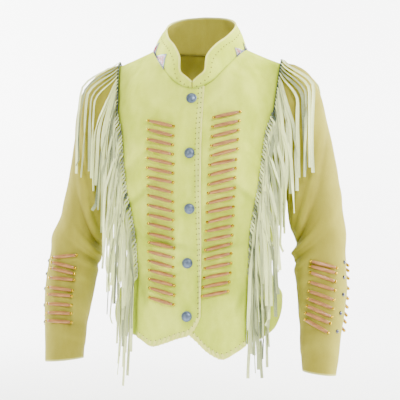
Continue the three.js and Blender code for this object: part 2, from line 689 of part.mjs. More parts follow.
// The ring and angle of a sleeve that lie at a place seen from the front
function sleevePlace(sleeve, x, z) {
  const beyond = ring => {
    const a = sleeve(ring, PI);
    const b = sleeve(ring, 0);
    return (b.x - a.x) * (z - a.z) - (b.z - a.z) * (x - a.x);
  };
  let low = 0;
  let high = LAST_RING;
  for (let i = 0; i < 24; i += 1) {
    const middle = (low + high) / 2;
    if (beyond(middle) < 0) low = middle;
    else high = middle;
  }
  const ring = (low + high) / 2;
  const a = sleeve(ring, PI);
  const chord = sleeve(ring, 0).sub(a);
  const share = ((x - a.x) * chord.x + (z - a.z) * chord.z) / (chord.x ** 2 + chord.z ** 2);
  return { ring, reach: clamp(2 * share - 1, -0.97, 0.97) };
}

// What a strand lies on: the body, or the sleeve beyond the armhole
function underStrand(shape, face, x, z) {
  if (z < ARMPIT_Z || x < armholeAt(z)) return bodyPoint(face, x * shape.side, z, false);
  const { ring, reach } = sleevePlace(shape.sleeve, x, z);
  const angle = (face === 'front' ? 1 : -1) * Math.acos(reach);
  return new THREE.Vector3(x * shape.side, shape.sleeve(ring, angle).y, z);
}

// The way in which strands are heaped on each other: outwards, and upwards by the shoulder
function heapDirection(shape, face, x, z) {
  const turn = radians(min(42, 0.28 * x));
  const forward = face === 'front' ? -1 : 1;
  const lift = 1.3 * smooth((z + 100) / 90);
  return new THREE.Vector3(shape.side * sin(turn), forward * cos(turn), lift).normalize();
}

// The way out of a sleeve where it leaves the armhole
function sleeveOutwards({ face, z }) {
  const rise = clamp(2 * (z - ARMPIT_Z) / (SHOULDER.z - ARMPIT_Z) - 1, -1, 1);
  return new THREE.Vector3(0, (face === 'front' ? -1 : 1) * sqrt(1 - rise * rise), rise);
}

// Roots at equal steps along the seams: behind the shoulder, over it, down the armhole and
// down the front seam
function fringeRoots(shape) {
  const { backZ, lastZ } = FRINGE;
  const behind = steps(backZ, SHOULDER.z, 24).map(z => ({ face: 'back', z, x: armholeAt(z) }));
  const armhole = steps(SHOULDER.z, JUNCTION_Z, 40).map(z => ({ face: 'front', z, x: armholeAt(z) }));
  const down = steps(JUNCTION_Z, lastZ, 90).map(z => ({ face: 'front', z, x: fringeSeamAt(z) }));
  let travelled = 0;
  let before = null;
  const roots = [];
  for (const place of [...behind, ...armhole, ...down.slice(1)]) {
    place.point = bodyPoint(place.face, place.x * shape.side, place.z);
    place.out = bodyNormal(place.face, place.x * shape.side, place.z);
    place.off = FRINGE.stripOff;
    if (place.face === 'back' || place.z > JUNCTION_Z - FRINGE.pastJunction) {
      place.out.add(sleeveOutwards(place)).normalize();
      place.off += FRINGE.overArmhole + FRINGE.overShoulder * place.out.z ** 8;
    }
    if (before) travelled += place.point.distanceTo(before.point);
    if (travelled >= roots.length * FRINGE.pitch) roots.push(place);
    before = place;
  }
  return roots;
}

// The lane that has been free longest among those near a root
function pickLane(root, used, turn) {
  const nearest = Math.round(root.x / FRINGE.lane);
  let best = nearest;
  for (let lane = nearest - FRINGE.lanes; lane <= nearest + FRINGE.lanes; lane += 1) {
    if ((used.get(lane) ?? -99) < (used.get(best) ?? -99)) best = lane;
  }
  used.set(best, turn);
  return best * FRINGE.lane;
}

// The falls at which a strand has a joint: near its root, and then at heights that all share
function strandStops(root, length) {
  const stops = [0, FRINGE.settle * 0.45, FRINGE.settle];
  const levels = [-130, -230, -330, -430, -530, -630];
  for (const level of levels) {
    const fall = root.z - level;
    if (fall > FRINGE.settle + 20 && fall < length - 20) stops.push(fall);
  }
  return [...stops, length];
}

// The middle line of one strand, as points with the direction out of the heap
function strandPath(shape, root, start, restX, length) {
  let foremost = 0;
  return strandStops(root, length).map(fall => {
    const x = lerp(root.x, restX, smooth(fall / FRINGE.settle));
    const z = root.z - fall;
    const out = heapDirection(shape, root.face, x, z);
    if (fall === 0) return { point: start, out: out.copy(root.out) };
    const off = root.off + FRINGE.clear + FRINGE.shingle * min(fall, FRINGE.settle)
      + FRINGE.drift * max(fall - FRINGE.settle, 0);
    const point = underStrand(shape, root.face, x, z);
    foremost = max(foremost, abs(point.y));
    point.y = Math.sign(point.y) * foremost;
    return { point: point.addScaledVector(out, off), out };
  });
}

// A flat strip with four corners at each stop of its path, and a slimmer root if wanted
function ribbon(path, width, thick, root = 1) {
  const points = [];
  const triangles = [];
  path.forEach(({ point, out }, i) => {
    const slim = i === 0 ? root : 1;
    const before = path[max(i - 1, 0)].point;
    const after = path[min(i + 1, path.length - 1)].point;
    const along = after.clone().sub(before).normalize();
    const across = along.clone().cross(out).normalize();
    const up = across.clone().cross(along).normalize();
    for (const [a, b] of [[-1, -1], [1, -1], [1, 1], [-1, 1]]) {
      points.push(point.clone()
        .addScaledVector(across, a * slim * width / 2)
        .addScaledVector(up, b * slim * thick / 2));
    }
  });
  const quad = (a, b, c, d) => triangles.push(a, b, c, a, c, d);
  for (let i = 0; i < path.length - 1; i += 1) {
    for (let k = 0; k < 4; k += 1) {
      const next = (k + 1) % 4;
      quad(4 * i + k, 4 * i + next, 4 * (i + 1) + next, 4 * (i + 1) + k);
    }
  }
  const end = 4 * (path.length - 1);
  quad(3, 2, 1, 0);
  quad(end, end + 1, end + 2, end + 3);
  const geometry = solid(points, triangles);
  return volume(geometry) < 0 ? turnedInsideOut(geometry) : geometry;
}

function volume(geometry) {
  const [a, b, c] = [new THREE.Vector3(), new THREE.Vector3(), new THREE.Vector3()];
  const { position } = geometry.attributes;
  const index = geometry.index.array;
  let total = 0;
  for (let i = 0; i < index.length; i += 3) {
    a.fromBufferAttribute(position, index[i]);
    b.fromBufferAttribute(position, index[i + 1]);
    c.fromBufferAttribute(position, index[i + 2]);
    total += a.dot(b.cross(c)) / 6;
  }
  return total;
}

function turnedInsideOut(geometry) {
  geometry.setIndex(Array.from(geometry.index.array).reverse());
  return geometry;
}

// Where a strand comes to rest, seen from the front
function strandRest(root, turn, top, used) {
  const spread = turn - top;
  if (spread >= FRINGE.fanned) return pickLane(root, used, turn);
  const rank = spread < 0 ? FRINGE.fanned + 1 + spread : FRINGE.fanned - spread;
  const restX = root.x + FRINGE.fan * rank;
  if (spread >= 0) used.set(Math.round(restX / FRINGE.lane), turn);
  return restX;
}

function fringeGeometry(shape) {
  const roots = fringeRoots(shape);
  const strip = roots.slice(1).map(({ point, out, off }, i) => {
    const between = point.clone().lerp(roots[i].point, 0.5);
    const facing = out.clone().add(roots[i].out).normalize();
    return { point: between.addScaledVector(facing, off + FRINGE.stripThick / 2), out: facing };
  });
  let body = toManifold(ribbon(strip, FRINGE.stripWide, FRINGE.stripThick));
  const top = roots.findIndex(root => root.face === 'front');
  const used = new Map();
  roots.slice(1, -1).forEach((root, i) => {
    const turn = i + 1;
    const restX = strandRest(root, turn, top, used);
    const length = FRINGE.long + 9 * sin(turn * 2.4) + 5 * sin(turn * 5.1);
    const start = strip[turn - 1].point.clone().lerp(strip[turn].point, 0.5);
    const path = strandPath(shape, root, start, restX, length);
    body = body.add(toManifold(ribbon(path, FRINGE.width, FRINGE.thick, FRINGE.root)));
  });
  return fromManifold(body);
}

const jacket = new THREE.Group();

function add(name, item, color, roughness = 0.95, metalness = 0) {
  const mesh = item.isMesh ? item : new THREE.Mesh(item);
  mesh.name = name;
  mesh.material = new THREE.MeshStandardMaterial({ color, roughness, metalness });
  jacket.add(mesh);
}

const overlapEdge = z => {
  const share = clamp((z - CLOSING_TOP_Z) / (OVERLAP_EDGE.hemZ - CLOSING_TOP_Z), 0, 1);
  return lerp(OVERLAP_EDGE.top, OVERLAP_EDGE.hem, share);
};
const frontRight = frontPanel(-1, z => -overlapEdge(z), RIGHT_HEM_ROWS);
const frontLeft = frontPanel(1, () => UNDERLAP_EDGE, LEFT_HEM_ROWS);
add('front_right', frontRight, COLOURS.suede);
add('front_left', frontLeft, COLOURS.suede);
add('side_right', sidePanel(-1, RIGHT_HEM_ROWS), COLOURS.suedeShade);
add('side_left', sidePanel(1, LEFT_HEM_ROWS), COLOURS.suedeShade);
add('back', backPanel(), COLOURS.suedeShade);
add('collar', collarWall(), COLOURS.suede);
add('sleeve_right', sleeveGeometry(SHAPES.right), COLOURS.suede);
add('sleeve_left', sleeveGeometry(SHAPES.left), COLOURS.suede);
add('fringe_right', fringeGeometry(SHAPES.right), COLOURS.fringe);
add('fringe_left', fringeGeometry(SHAPES.left), COLOURS.fringe);

SNAP_HEIGHTS.forEach((z, i) => {
  const surface = (x, height) => bodyPoint('front', x, height);
  const { alongB, out } = tangents(surface, CLOSING_X, z, 10);
  const point = surface(CLOSING_X, z).addScaledVector(out, SNAP.off);
  const mesh = stand(new THREE.Mesh(snapGeometry()), point, out, alongB);
  add(`snap_${i + 1}`, mesh, COLOURS.pewter, 0.4, 0.8);
});

const pipes = {
  right: pipeColumn(RIGHT_PIPE_COLUMN, -1, toManifold(frontRight)),
  left: pipeColumn(LEFT_PIPE_COLUMN, 1, toManifold(frontLeft)),
};
for (const [side, column] of Object.entries(pipes)) {
  column.forEach((mesh, i) => add(`pipe_${side}_${i + 1}`, mesh, COLOURS.bone, 0.5));
}

export default jacket;
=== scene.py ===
# %% [markdown]
# # A fringed suede jacket
#
# The CAD model already has the jacket's shape: two fronts, two side fronts, a back, a collar, two
# sleeves, two fringes, five snaps and forty hair-pipe beads. Its cloth is coarse, so this lesson
# makes each piece again with fine cloth over the same surface, and adds what is sewn on: laced
# edges, brass beads, silver studs and the beadwork of the collar.
#
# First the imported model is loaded. It stays fixed, and every new piece is made around it.

# %% Load the fixed frame
import math
import random

import bpy
import numpy as np
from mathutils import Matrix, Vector


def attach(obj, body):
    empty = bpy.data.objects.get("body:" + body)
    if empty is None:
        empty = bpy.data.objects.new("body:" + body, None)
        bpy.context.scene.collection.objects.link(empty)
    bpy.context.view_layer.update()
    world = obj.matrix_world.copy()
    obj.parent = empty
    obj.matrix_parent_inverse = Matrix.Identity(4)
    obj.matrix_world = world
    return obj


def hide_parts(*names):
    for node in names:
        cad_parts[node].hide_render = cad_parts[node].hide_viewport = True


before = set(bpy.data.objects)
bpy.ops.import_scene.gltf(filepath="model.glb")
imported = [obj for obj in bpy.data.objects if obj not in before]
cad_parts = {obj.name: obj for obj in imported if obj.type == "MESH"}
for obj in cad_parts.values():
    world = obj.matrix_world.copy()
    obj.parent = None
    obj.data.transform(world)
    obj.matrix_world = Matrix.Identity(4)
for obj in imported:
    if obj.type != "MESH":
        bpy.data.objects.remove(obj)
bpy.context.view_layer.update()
print("CAD nodes:", len(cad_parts))

# %% [markdown]
# ## The camera and the studio
#
# The photograph was taken level, from a little to the wearer's left, with a long lens. A long lens
# keeps the near sleeve from looking bigger than the far one. The background is plain and pale, so
# one sheet of paper that curves up behind the jacket does for floor and wall.

# %% Camera
VIEW_TURN = math.radians(10)
VIEW_DISTANCE = 3.0
VIEW_WIDTH = 0.86
AIM = Vector((0, 0, -0.297))
SENSOR = 36.0

view = bpy.data.cameras.new("camera")
view.sensor_width = SENSOR
view.lens = SENSOR * VIEW_DISTANCE / VIEW_WIDTH
camera = bpy.data.objects.new("camera", view)
bpy.context.scene.collection.objects.link(camera)
camera.location = AIM + VIEW_DISTANCE * Vector((math.sin(VIEW_TURN), -math.cos(VIEW_TURN), 0))
camera.rotation_euler = (math.pi / 2, 0, VIEW_TURN)
bpy.context.scene.camera = camera
print("lens:", round(view.lens, 1), "mm")


# %% Studio paper
def selected_only(piece):
    """Selects one piece and nothing else."""
    bpy.ops.object.select_all(action="DESELECT")
    piece.select_set(True)
    bpy.context.view_layer.objects.active = piece


def mesh_piece(name, points, faces, materials=(), indexes=None):
    """A new piece at the origin, from points in metres and faces."""
    mesh = bpy.data.meshes.new(name)
    corners = faces.tolist() if isinstance(faces, np.ndarray) else faces
    mesh.from_pydata(np.asarray(points, float).tolist(), [], corners)
    for material in materials:
        mesh.materials.append(material)
    if indexes is not None:
        mesh.polygons.foreach_set("material_index", np.asarray(indexes, np.int32))
    piece = bpy.data.objects.new(name, mesh)
    bpy.context.scene.collection.objects.link(piece)
    return piece


FLOOR_Z = -0.78
WALL_Y, WALL_TOP, BEND_RADIUS = 4.2, 3.2, 0.9
PAPER_HALF_WIDTH, PAPER_FRONT = 5, -5
bend = [
    (WALL_Y - BEND_RADIUS * (1 - math.sin(t)), FLOOR_Z + BEND_RADIUS * (1 - math.cos(t)))
    for t in np.linspace(0, math.pi / 2, 16)
]
profile = [(PAPER_FRONT, FLOOR_Z), *bend, (WALL_Y, WALL_TOP)]
paper_points = [(x, y, z) for y, z in profile for x in (-PAPER_HALF_WIDTH, PAPER_HALF_WIDTH)]
paper_faces = [(2 * i, 2 * i + 1, 2 * i + 3, 2 * i + 2) for i in range(len(profile) - 1)]
paper = mesh_piece("paper", paper_points, paper_faces)
paper.data.shade_smooth()


# %% Lights
def soft_light(name, place, size, watts, toward=AIM):
    lamp = bpy.data.lights.new(name, "AREA")
    lamp.energy = watts
    lamp.size = size
    light = bpy.data.objects.new(name, lamp)
    light.location = place
    light.rotation_euler = (Vector(toward) - Vector(place)).to_track_quat("-Z", "Y").to_euler()
    bpy.context.scene.collection.objects.link(light)


soft_light("key", (1.4, -2.6, 1.8), 0.8, 132)
soft_light("fill", (-1.9, -2.9, 0.6), 1.8, 34)
soft_light("top", (0.1, -0.2, 2.4), 1.6, 34)
soft_light("side", (2.6, -0.4, 0.3), 1.2, 16)
for side in (-1, 1):
    soft_light(f"wall_{side}", (3.3 * side, 1.2, 1.2), 1.8, 760, toward=(0.3 * side, 3.9, -0.4))
world = bpy.data.worlds.new("studio")
world.use_nodes = True
world.node_tree.nodes["Background"].inputs["Color"].default_value = (1, 1, 1, 1)
world.node_tree.nodes["Background"].inputs["Strength"].default_value = 0.32
bpy.context.scene.world = world
print("lights ready")


# %% [markdown]
# ## Writing materials as sums
#
# A material is a graph of nodes. Most of them only add and multiply, so a small class lets a
# socket be used in ordinary Python expressions, and one method makes every other kind of node.

# %% A socket that can be added and multiplied
class Wire:
    """The output of a node, which can be used in sums."""

    def __init__(self, graph, socket):
        self.graph = graph
        self.socket = socket

    def math(self, operation, first, second, clamp=False):
        settings = {"operation": operation, "use_clamp": clamp}
        return self.graph.node("ShaderNodeMath", settings, {0: first, 1: second})

    def __add__(self, other):
        return self.math("ADD", self, other)

    def __sub__(self, other):
        return self.math("SUBTRACT", self, other)

    def __mul__(self, other):
        return self.math("MULTIPLY", self, other)

    def clipped(self):
        """The value, held between 0 and 1."""
        return self.math("ADD", self, 0, clamp=True)


class Finish:
    """A material under construction."""

    def __init__(self, name):
        self.material = bpy.data.materials.new(name)
        self.material.use_nodes = True
        self.tree = self.material.node_tree
        self.tree.nodes.clear()

    def node(self, kind, settings=None, sockets=None, output=0):
        """Adds a node, sets its settings first, then its sockets' values or links."""
        made = self.tree.nodes.new(kind)
        for name, value in (settings or {}).items():
            if name == "stops":
                self.fill_ramp(made.color_ramp, value)
            else:
                setattr(made, name, value)
        for name, value in (sockets or {}).items():
            if isinstance(value, Wire):
                self.tree.links.new(value.socket, made.inputs[name])
            else:
                made.inputs[name].default_value = value
        return None if output is None else Wire(self, made.outputs[output])

    @staticmethod
    def fill_ramp(ramp, stops):
        while len(ramp.elements) < len(stops):
            ramp.elements.new(1)
        for element, (place, color) in zip(ramp.elements, stops):
            element.position = place
            element.color = color

    def object_place(self):
        return self.node("ShaderNodeTexCoord", output="Object")

    def noise(self, place, scale, detail=3, roughness=0.55, stretch=None):
        """Noise from -0.5 to 0.5, with about scale blotches a metre."""
        if stretch is not None:
            place = self.node("ShaderNodeMapping", {}, {"Vector": place, "Scale": stretch})
        sockets = {"Vector": place, "Scale": scale, "Detail": detail, "Roughness": roughness}
        return self.node("ShaderNodeTexNoise", {}, sockets) - 0.5

    def mixed(self, share, first, second):
        """A colour between two others."""
        settings = {"data_type": "RGBA"}
        return self.node("ShaderNodeMix", settings, {0: share, 6: first, 7: second}, output=2)

    def attribute(self, name):
        return self.node("ShaderNodeAttribute", {"attribute_name": name}, output="Fac")

    def surface(self, color, roughness, height=None, depth=0.001, **fixed):
        """Ends the material with a shader. The fixed values are the same all over."""
        sockets = {"Base Color": color, "Roughness": roughness}
        sockets.update({name.replace("_", " "): value for name, value in fixed.items()})
        if height is not None:
            sockets["Normal"] = self.node("ShaderNodeBump", {}, {"Height": height, "Distance": depth})
        shader = self.node("ShaderNodeBsdfPrincipled", {}, sockets)
        self.node("ShaderNodeOutputMaterial", {}, {"Surface": shader}, output=None)
        return self.material


def rgb(red, green, blue):
    """A colour from the values that a screen shows, made linear for the shader."""
    def linear(value):
        value /= 255
        return value / 12.92 if value <= 0.04045 else ((value + 0.055) / 1.055) ** 2.4
    return (linear(red), linear(green), linear(blue), 1)


# %% Paper material
paper_finish = Finish("studio_paper")
grain = paper_finish.noise(paper_finish.object_place(), 3)
paper_tone = paper_finish.mixed((grain * 0.3 + 0.5).clipped(), rgb(252, 252, 252), rgb(255, 255, 255))
paper.data.materials.append(paper_finish.surface(paper_tone, 0.9))


# %% [markdown]
# ## Suede
#
# Suede is leather with its flesh side out, brushed into a nap. It has no gloss. Brushed patches lie
# like clouds. Shade is painted into the colour: folds stay pale on their backs and are painted deeper
# and greener in their valleys, and the cloth is painted darker along seams, towards the hem, at the
# sides, on the inner side of the arms and at the foot of the collar. This painted shade comes from a
# number stored on each mesh point, since the mesh code knows where it folded the cloth. Cut edges
# and the laced bands are paler.

# %% Suede materials
SUEDE_LIGHT = rgb(238, 250, 92)
SUEDE_WARM = rgb(196, 214, 30)
# The deep colour is painted shade, mixed in where folds, seams, the hem and the sides would lie in shade.
SUEDE_PAINTED_SHADE = rgb(110, 136, 14)
EDGE_PALE = rgb(236, 240, 160)


def suede(name, light, warm, painted_shade_color):
    finish = Finish(name)
    place = finish.object_place()
    clouds = finish.noise(place, 9, detail=4)
    patches = finish.noise(place, 38, detail=4, stretch=(1, 1, 0.45))
    nap = finish.noise(place, 900, detail=2, stretch=(1, 1, 0.5))
    pores = finish.noise(place, 2600, detail=1)
    tone = finish.mixed((clouds * 1.7 + patches * 0.9 + 0.42).clipped(), light, warm)
    # Painted shade of folds and seams, from the number stored on each point, roughened by noise and mixed
    # towards the shade colour.
    valley = finish.attribute("valley")
    depth = (valley + patches * 0.25 + nap * 0.35 - 0.02).clipped()
    tone = finish.mixed(depth, tone, painted_shade_color)
    band = (finish.attribute("band") + nap * 0.4 - 0.05).clipped()
    tone = finish.mixed(band, tone, EDGE_PALE)
    roughness = (patches * 0.12 + 0.9).clipped()
    height = nap * 0.7 + pores * 0.4
    return finish.surface(
        tone, roughness, height, 0.0005,
        Sheen_Weight=0.1, Sheen_Roughness=0.45, Sheen_Tint=rgb(255, 250, 190), Specular_IOR_Level=0.15,
    )


# Nap outside, skin inside coloured as the nap in painted shade, cut edge on the rim
CLOTH_FINISHES = (
    suede("suede_nap", SUEDE_LIGHT, SUEDE_WARM, SUEDE_PAINTED_SHADE),
    suede("suede_inside_painted_shade", rgb(168, 160, 60), rgb(150, 140, 44), rgb(84, 76, 18)),
    suede("suede_cut_edge", rgb(242, 244, 160), rgb(230, 226, 120), rgb(180, 172, 70)),
)
print("suede materials:", len(CLOTH_FINISHES))

# %% [markdown]
# ## The cut of the jacket
#
# These are the sizes that the CAD model is made from, in millimetres: the body's half width and
# depths down its height, the shoulder line, the necklines, the armhole, the fringed seam and the
# hems. Everything sewn to the cloth asks the same functions where the cloth is.

# %% Sizes of the cut
MM = 0.001
SEAM_GAP = 0.4
WALL = 2.0
SHOULDER_X, SHOULDER_Z = 176, -6
NECK_SIDE_X = 100
ARMPIT_Z = -288
SIDE_HEM_X, SIDE_HEM_Z = 178, -495
JUNCTION_Z = -108
SEAM_FOOT_Z = -580
POINT_Z = -560
CLOSING_TOP_Z = -60
UNDERLAP_EDGE = -12

# Height, half width, depth in front, depth behind
BODY_ROWS = [
    (60, 188, 118, 98), (-110, 187, 124, 108), (-210, 186, 128, 107), (-288, 184, 126, 99),
    (-330, 172, 122, 92), (-395, 159, 117, 85), (-445, 155, 115, 87), (-470, 161, 116, 93),
    (-495, 177, 119, 101), (-560, 186, 125, 111), (-700, 190, 131, 118),
]
RIDGE_ROWS = [(0, 62), (50, 52), (100, 26), (140, 8), (160, 0), (176, -6), (200, -12)]
FRONT_NECK_ROWS = [(0, -63), (20, -58), (45, -42), (72, -10), (90, 14), (100, 26)]
BACK_NECK_ROWS = [(0, 22), (40, 23), (75, 25), (100, 26)]
ARMHOLE_ROWS = [(-6, 176), (-60, 171), (-108, 167), (-160, 165), (-210, 167), (-255, 175), (-288, 184)]
FRINGE_SEAM_ROWS = [(-108, 167), (-157, 156), (-217, 149), (-265, 143), (-361, 126), (-460, 120), (-600, 116)]
RIGHT_HEM_ROWS = [
    (-29, -516), (-23, -532), (-16, -551), (-6, -568), (4, -577), (28, -584), (52, -593), (80, -600),
    (104, -587), (118, -579), (146, -560), (162, -534), (178, -495),
]
LEFT_HEM_ROWS = [
    (-12, -562), (0, -576), (16, -590), (32, -606), (52, -619), (70, -624), (91, -613), (118, -594),
    (146, -567), (160, -540), (178, -495),
]
BACK_HEM_ROWS = [(0, -566), (60, -560), (120, -536), (178, -495)]


# %% Smooth curves through the tables
def curve(rows, column=1):
    """A smooth curve through a table, from its first column to another."""
    table = np.array(sorted(rows), float)
    x, y = table[:, 0], table[:, column]
    last = len(x) - 1
    count = np.arange(last + 1)
    before, after = np.maximum(count - 1, 0), np.minimum(count + 1, last)
    slope = (y[after] - y[before]) / (x[after] - x[before])

    def at(value):
        value = np.clip(value, x[0], x[-1])
        i = np.clip(np.searchsorted(x, value, side="right") - 1, 0, last - 1)
        step = x[i + 1] - x[i]
        t = (value - x[i]) / step
        ends = y[i] * (1 + 2 * t) * (1 - t) ** 2 + y[i + 1] * t * t * (3 - 2 * t)
        return ends + step * (slope[i] * t * (1 - t) ** 2 - slope[i + 1] * t * t * (1 - t))

    return at


def lerp(start, end, share):
    return start + (end - start) * share


def smooth(share):
    share = np.clip(share, 0, 1)
    return share * share * (3 - 2 * share)


half_width_at = curve(BODY_ROWS, 1)
ridge_at = curve(RIDGE_ROWS)
front_neck_at = curve(FRONT_NECK_ROWS)
back_neck_at = curve(BACK_NECK_ROWS)
armhole_at = curve(ARMHOLE_ROWS)
fringe_seam_at = curve(FRINGE_SEAM_ROWS)
FACES = {
    "front": {"sign": -1, "depth": curve(BODY_ROWS, 2), "chest": -210, "lean": 0.7},
    "back": {"sign": 1, "depth": curve(BODY_ROWS, 3), "chest": -150, "lean": 0.5},
}
print("half width at the waist:", float(half_width_at(-445)), "mm")

# %% [markdown]
# ## Folds
#
# The broad folds are those of the CAD model. The finer creases are added here: short drags that
# run from the armholes, level wrinkles where the waist bends, and a shallow dent at each snap. A fold
# is a long soft hill: it has a place, a direction, a reach along and across, and a height.

# %% Folds and creases of the body
# Place, direction from level, reach along and across, height
FRONT_FOLDS = [
    (104, -240, -54, 62, 20, 6), (-106, -250, 52, 60, 20, 5.5), (84, -425, 14, 40, 24, 4),
    (-78, -410, -12, 42, 22, 4.5), (84, -565, 84, 60, 20, 6), (-84, -550, -84, 55, 20, 5),
    (116, -66, -68, 45, 18, 3), (-116, -62, 66, 42, 18, 3),
]
BACK_FOLDS = [
    (92, -130, -58, 80, 22, 6), (-96, -140, 55, 75, 22, 5.5), (40, -385, 6, 90, 24, 6),
    (-46, -440, -8, 85, 24, 5.5), (96, -320, 30, 60, 22, 5), (-100, -340, -28, 58, 22, 5),
    (66, -515, 82, 70, 24, 8), (-60, -520, -84, 72, 24, 8), (4, -525, 90, 65, 20, -5),
]
FRONT_CREASES = [
    (120, -196, -48, 42, 7, 2.2), (112, -282, -40, 36, 7, -2.0), (-124, -204, 46, 40, 7, 2.2),
    (-114, -292, 38, 36, 7, -2.0), (60, -395, 8, 46, 8, -2.0), (52, -447, -6, 40, 7, 1.8),
    (-44, -388, -10, 44, 8, -2.2), (-52, -440, 6, 42, 7, 1.8), (14, -250, 78, 46, 9, -1.5),
    (-20, -150, 84, 40, 9, 1.4), (-24, -365, 80, 44, 9, 1.5), (18, -480, 86, 44, 9, -1.8),
    (130, -40, -60, 30, 7, 1.6), (-130, -40, 60, 30, 7, 1.6), (36, -90, 40, 26, 8, 1.3),
    (-66, -96, -30, 30, 8, 1.3), (104, -505, 70, 40, 8, -1.8), (-100, -500, -72, 40, 8, -1.8),
]
BACK_CREASES = [
    (118, -160, -52, 46, 8, 2.4), (-118, -170, 50, 46, 8, 2.4), (70, -350, 10, 60, 8, -2.4),
    (-66, -360, -12, 58, 8, -2.4), (20, -410, -4, 60, 8, 2.2), (-20, -470, 5, 60, 8, 2.0),
    (110, -410, 24, 40, 8, 2.0), (-112, -420, -22, 40, 8, 2.0), (30, -60, 70, 60, 10, 1.6),
    (-36, -70, -74, 60, 10, 1.6), (0, -250, 88, 110, 9, -1.6),
]
# Place of each snap, and the reach and height of the dent round it
SNAPS = [(0, -85), (0, -200), (-1, -315), (-7, -428), (-7, -538)]
DENT_REACH, DENT_HEIGHT = 16, -2.4


def hills(rows, x, z):
    """The height of all the folds in a table at a place."""
    total = np.zeros(np.broadcast(x, z).shape)
    for at_x, at_z, turn, along_reach, across_reach, high in rows:
        cos, sin = math.cos(math.radians(turn)), math.sin(math.radians(turn))
        along = (x - at_x) * cos + (z - at_z) * sin
        across = (z - at_z) * cos - (x - at_x) * sin
        total = total + high * np.exp(-((along / along_reach) ** 2) - (across / across_reach) ** 2)
    return total


def dents(x, z):
    """The dents round the snaps."""
    total = np.zeros(np.broadcast(x, z).shape)
    for at_x, at_z in SNAPS:
        total = total + DENT_HEIGHT * np.exp(-((x - at_x) ** 2 + (z - at_z) ** 2) / DENT_REACH**2)
    return total


waves = np.random.default_rng(7)
RIPPLE_TURNS = waves.normal(size=(26, 3))
RIPPLE_TURNS /= np.linalg.norm(RIPPLE_TURNS, axis=1, keepdims=True)
RIPPLE_LENGTHS = waves.uniform(26, 90, 26)
RIPPLE_STARTS = waves.uniform(0, 2 * math.pi, 26)


def ripple(points, high):
    """Gentle unevenness of the cloth, the same each time at the same place."""
    total = 0
    for turn, length, start in zip(RIPPLE_TURNS, RIPPLE_LENGTHS, RIPPLE_STARTS):
        total = total + np.cos(points @ turn * 2 * math.pi / length + start) * length / 90
    return total * high / 3


print("folds and creases:", len(FRONT_FOLDS + BACK_FOLDS + FRONT_CREASES + BACK_CREASES))


# %% Where the cloth of the body is
def unit(vectors):
    return vectors / np.maximum(np.linalg.norm(vectors, axis=-1, keepdims=True), 1e-9)


def body_normal(face, x, z):
    """The outward direction of the body, without its folds."""
    shape = FACES[face]
    width = half_width_at(z)
    across = np.clip(x / width, -1, 1)
    high = ridge_at(np.abs(x)) - shape["chest"]
    rise = np.clip((z - shape["chest"]) / high, 0, 1)
    y = np.sqrt(1 - across**2) * np.sqrt(1 - rise**2)
    forward = shape["sign"] * y / shape["depth"](z)
    parts = across * (1 - rise**2) / width, forward, (1 - across**2) * rise / high
    return unit(np.stack(np.broadcast_arrays(*parts), axis=-1))


def fold_height(face, x, z):
    if face == "back":
        return hills(BACK_FOLDS, x, z), hills(BACK_CREASES, x, z)
    return hills(FRONT_FOLDS, x, z), hills(FRONT_CREASES, x, z) + dents(x, z)


def body_point(face, x, z, folded=True):
    """A point of the cloth's outside, from its place seen from the front, in millimetres."""
    shape = FACES[face]
    x, z = np.broadcast_arrays(np.asarray(x, float), np.asarray(z, float))
    across = np.clip(x / half_width_at(z), -1, 1)
    rise = np.clip((z - shape["chest"]) / (ridge_at(np.abs(x)) - shape["chest"]), 0, 1)
    bulge = np.sqrt(1 - across**2) * (1 + 0.25 * across**2)
    y = shape["sign"] * (shape["depth"](z) * bulge * (1 - rise**2) ** shape["lean"] + SEAM_GAP / 2)
    points = np.stack((x, y, z), axis=-1)
    if not folded:
        return points
    broad, fine = fold_height(face, x, z)
    calm = (1 - across**8) * (1 - rise**8)
    height = (broad + 1.4 * fine + ripple(points, 1.0)) * calm
    return points + body_normal(face, x, z) * height[..., None]


def front_point(x, z):
    """The same for the wearer's left front, which dips where it lies under the other."""
    points = body_point("front", x, z)
    points[..., 1] += 3.8 * (1 - smooth((points[..., 0] - 33) / 32))
    return points


print("chest stands forward:", round(float(-body_point("front", 0, -210)[1]), 1), "mm")

# %% [markdown]
# ## Cloth
#
# A piece of cloth is a grid of points over the surface, and a second grid one wall's thickness
# inside it, joined round the rim. Three materials go on it: the nap outside, the skin inside, which is
# coloured as the nap in painted shade, and the pale cut edge on the rim. A sewn border is pulled in a
# little, which makes the groove of the seam, and shade is painted along it. This is mesh code,
# because a cut pattern with folds is a sheet of numbers and not a primitive that could be pushed
# into shape.

# %% A shell of cloth from a grid of points
def grid_normals(points, tube, flip):
    if tube:
        across = np.roll(points, -1, axis=1) - np.roll(points, 1, axis=1)
    else:
        across = np.gradient(points, axis=1)
    up = np.gradient(points, axis=0)
    return unit(np.cross(across, up)) * (-1 if flip else 1)


def border_distance(points, sewn):
    """How far each point is from the nearest sewn border, in millimetres."""
    steps_up = np.linalg.norm(np.diff(points, axis=0), axis=-1)
    steps_across = np.linalg.norm(np.diff(points, axis=1), axis=-1)
    up = np.zeros(points.shape[:2])
    across = np.zeros(points.shape[:2])
    up[1:] = np.cumsum(steps_up, axis=0)
    across[:, 1:] = np.cumsum(steps_across, axis=1)
    found = {"low": up, "high": up[-1:] - up, "start": across, "end": across[:, -1:] - across}
    return np.min([found[name] for name in sewn], axis=0)


def cell_faces(rows, columns, tube):
    """The corners of each cell of a grid of points."""
    number = np.arange(rows * columns).reshape(rows, columns)
    right = np.roll(number, -1, axis=1)
    if not tube:
        number, right = number[:, :-1], right[:, :-1]
    return np.stack((number[:-1], right[:-1], right[1:], number[1:]), axis=-1).reshape(-1, 4)


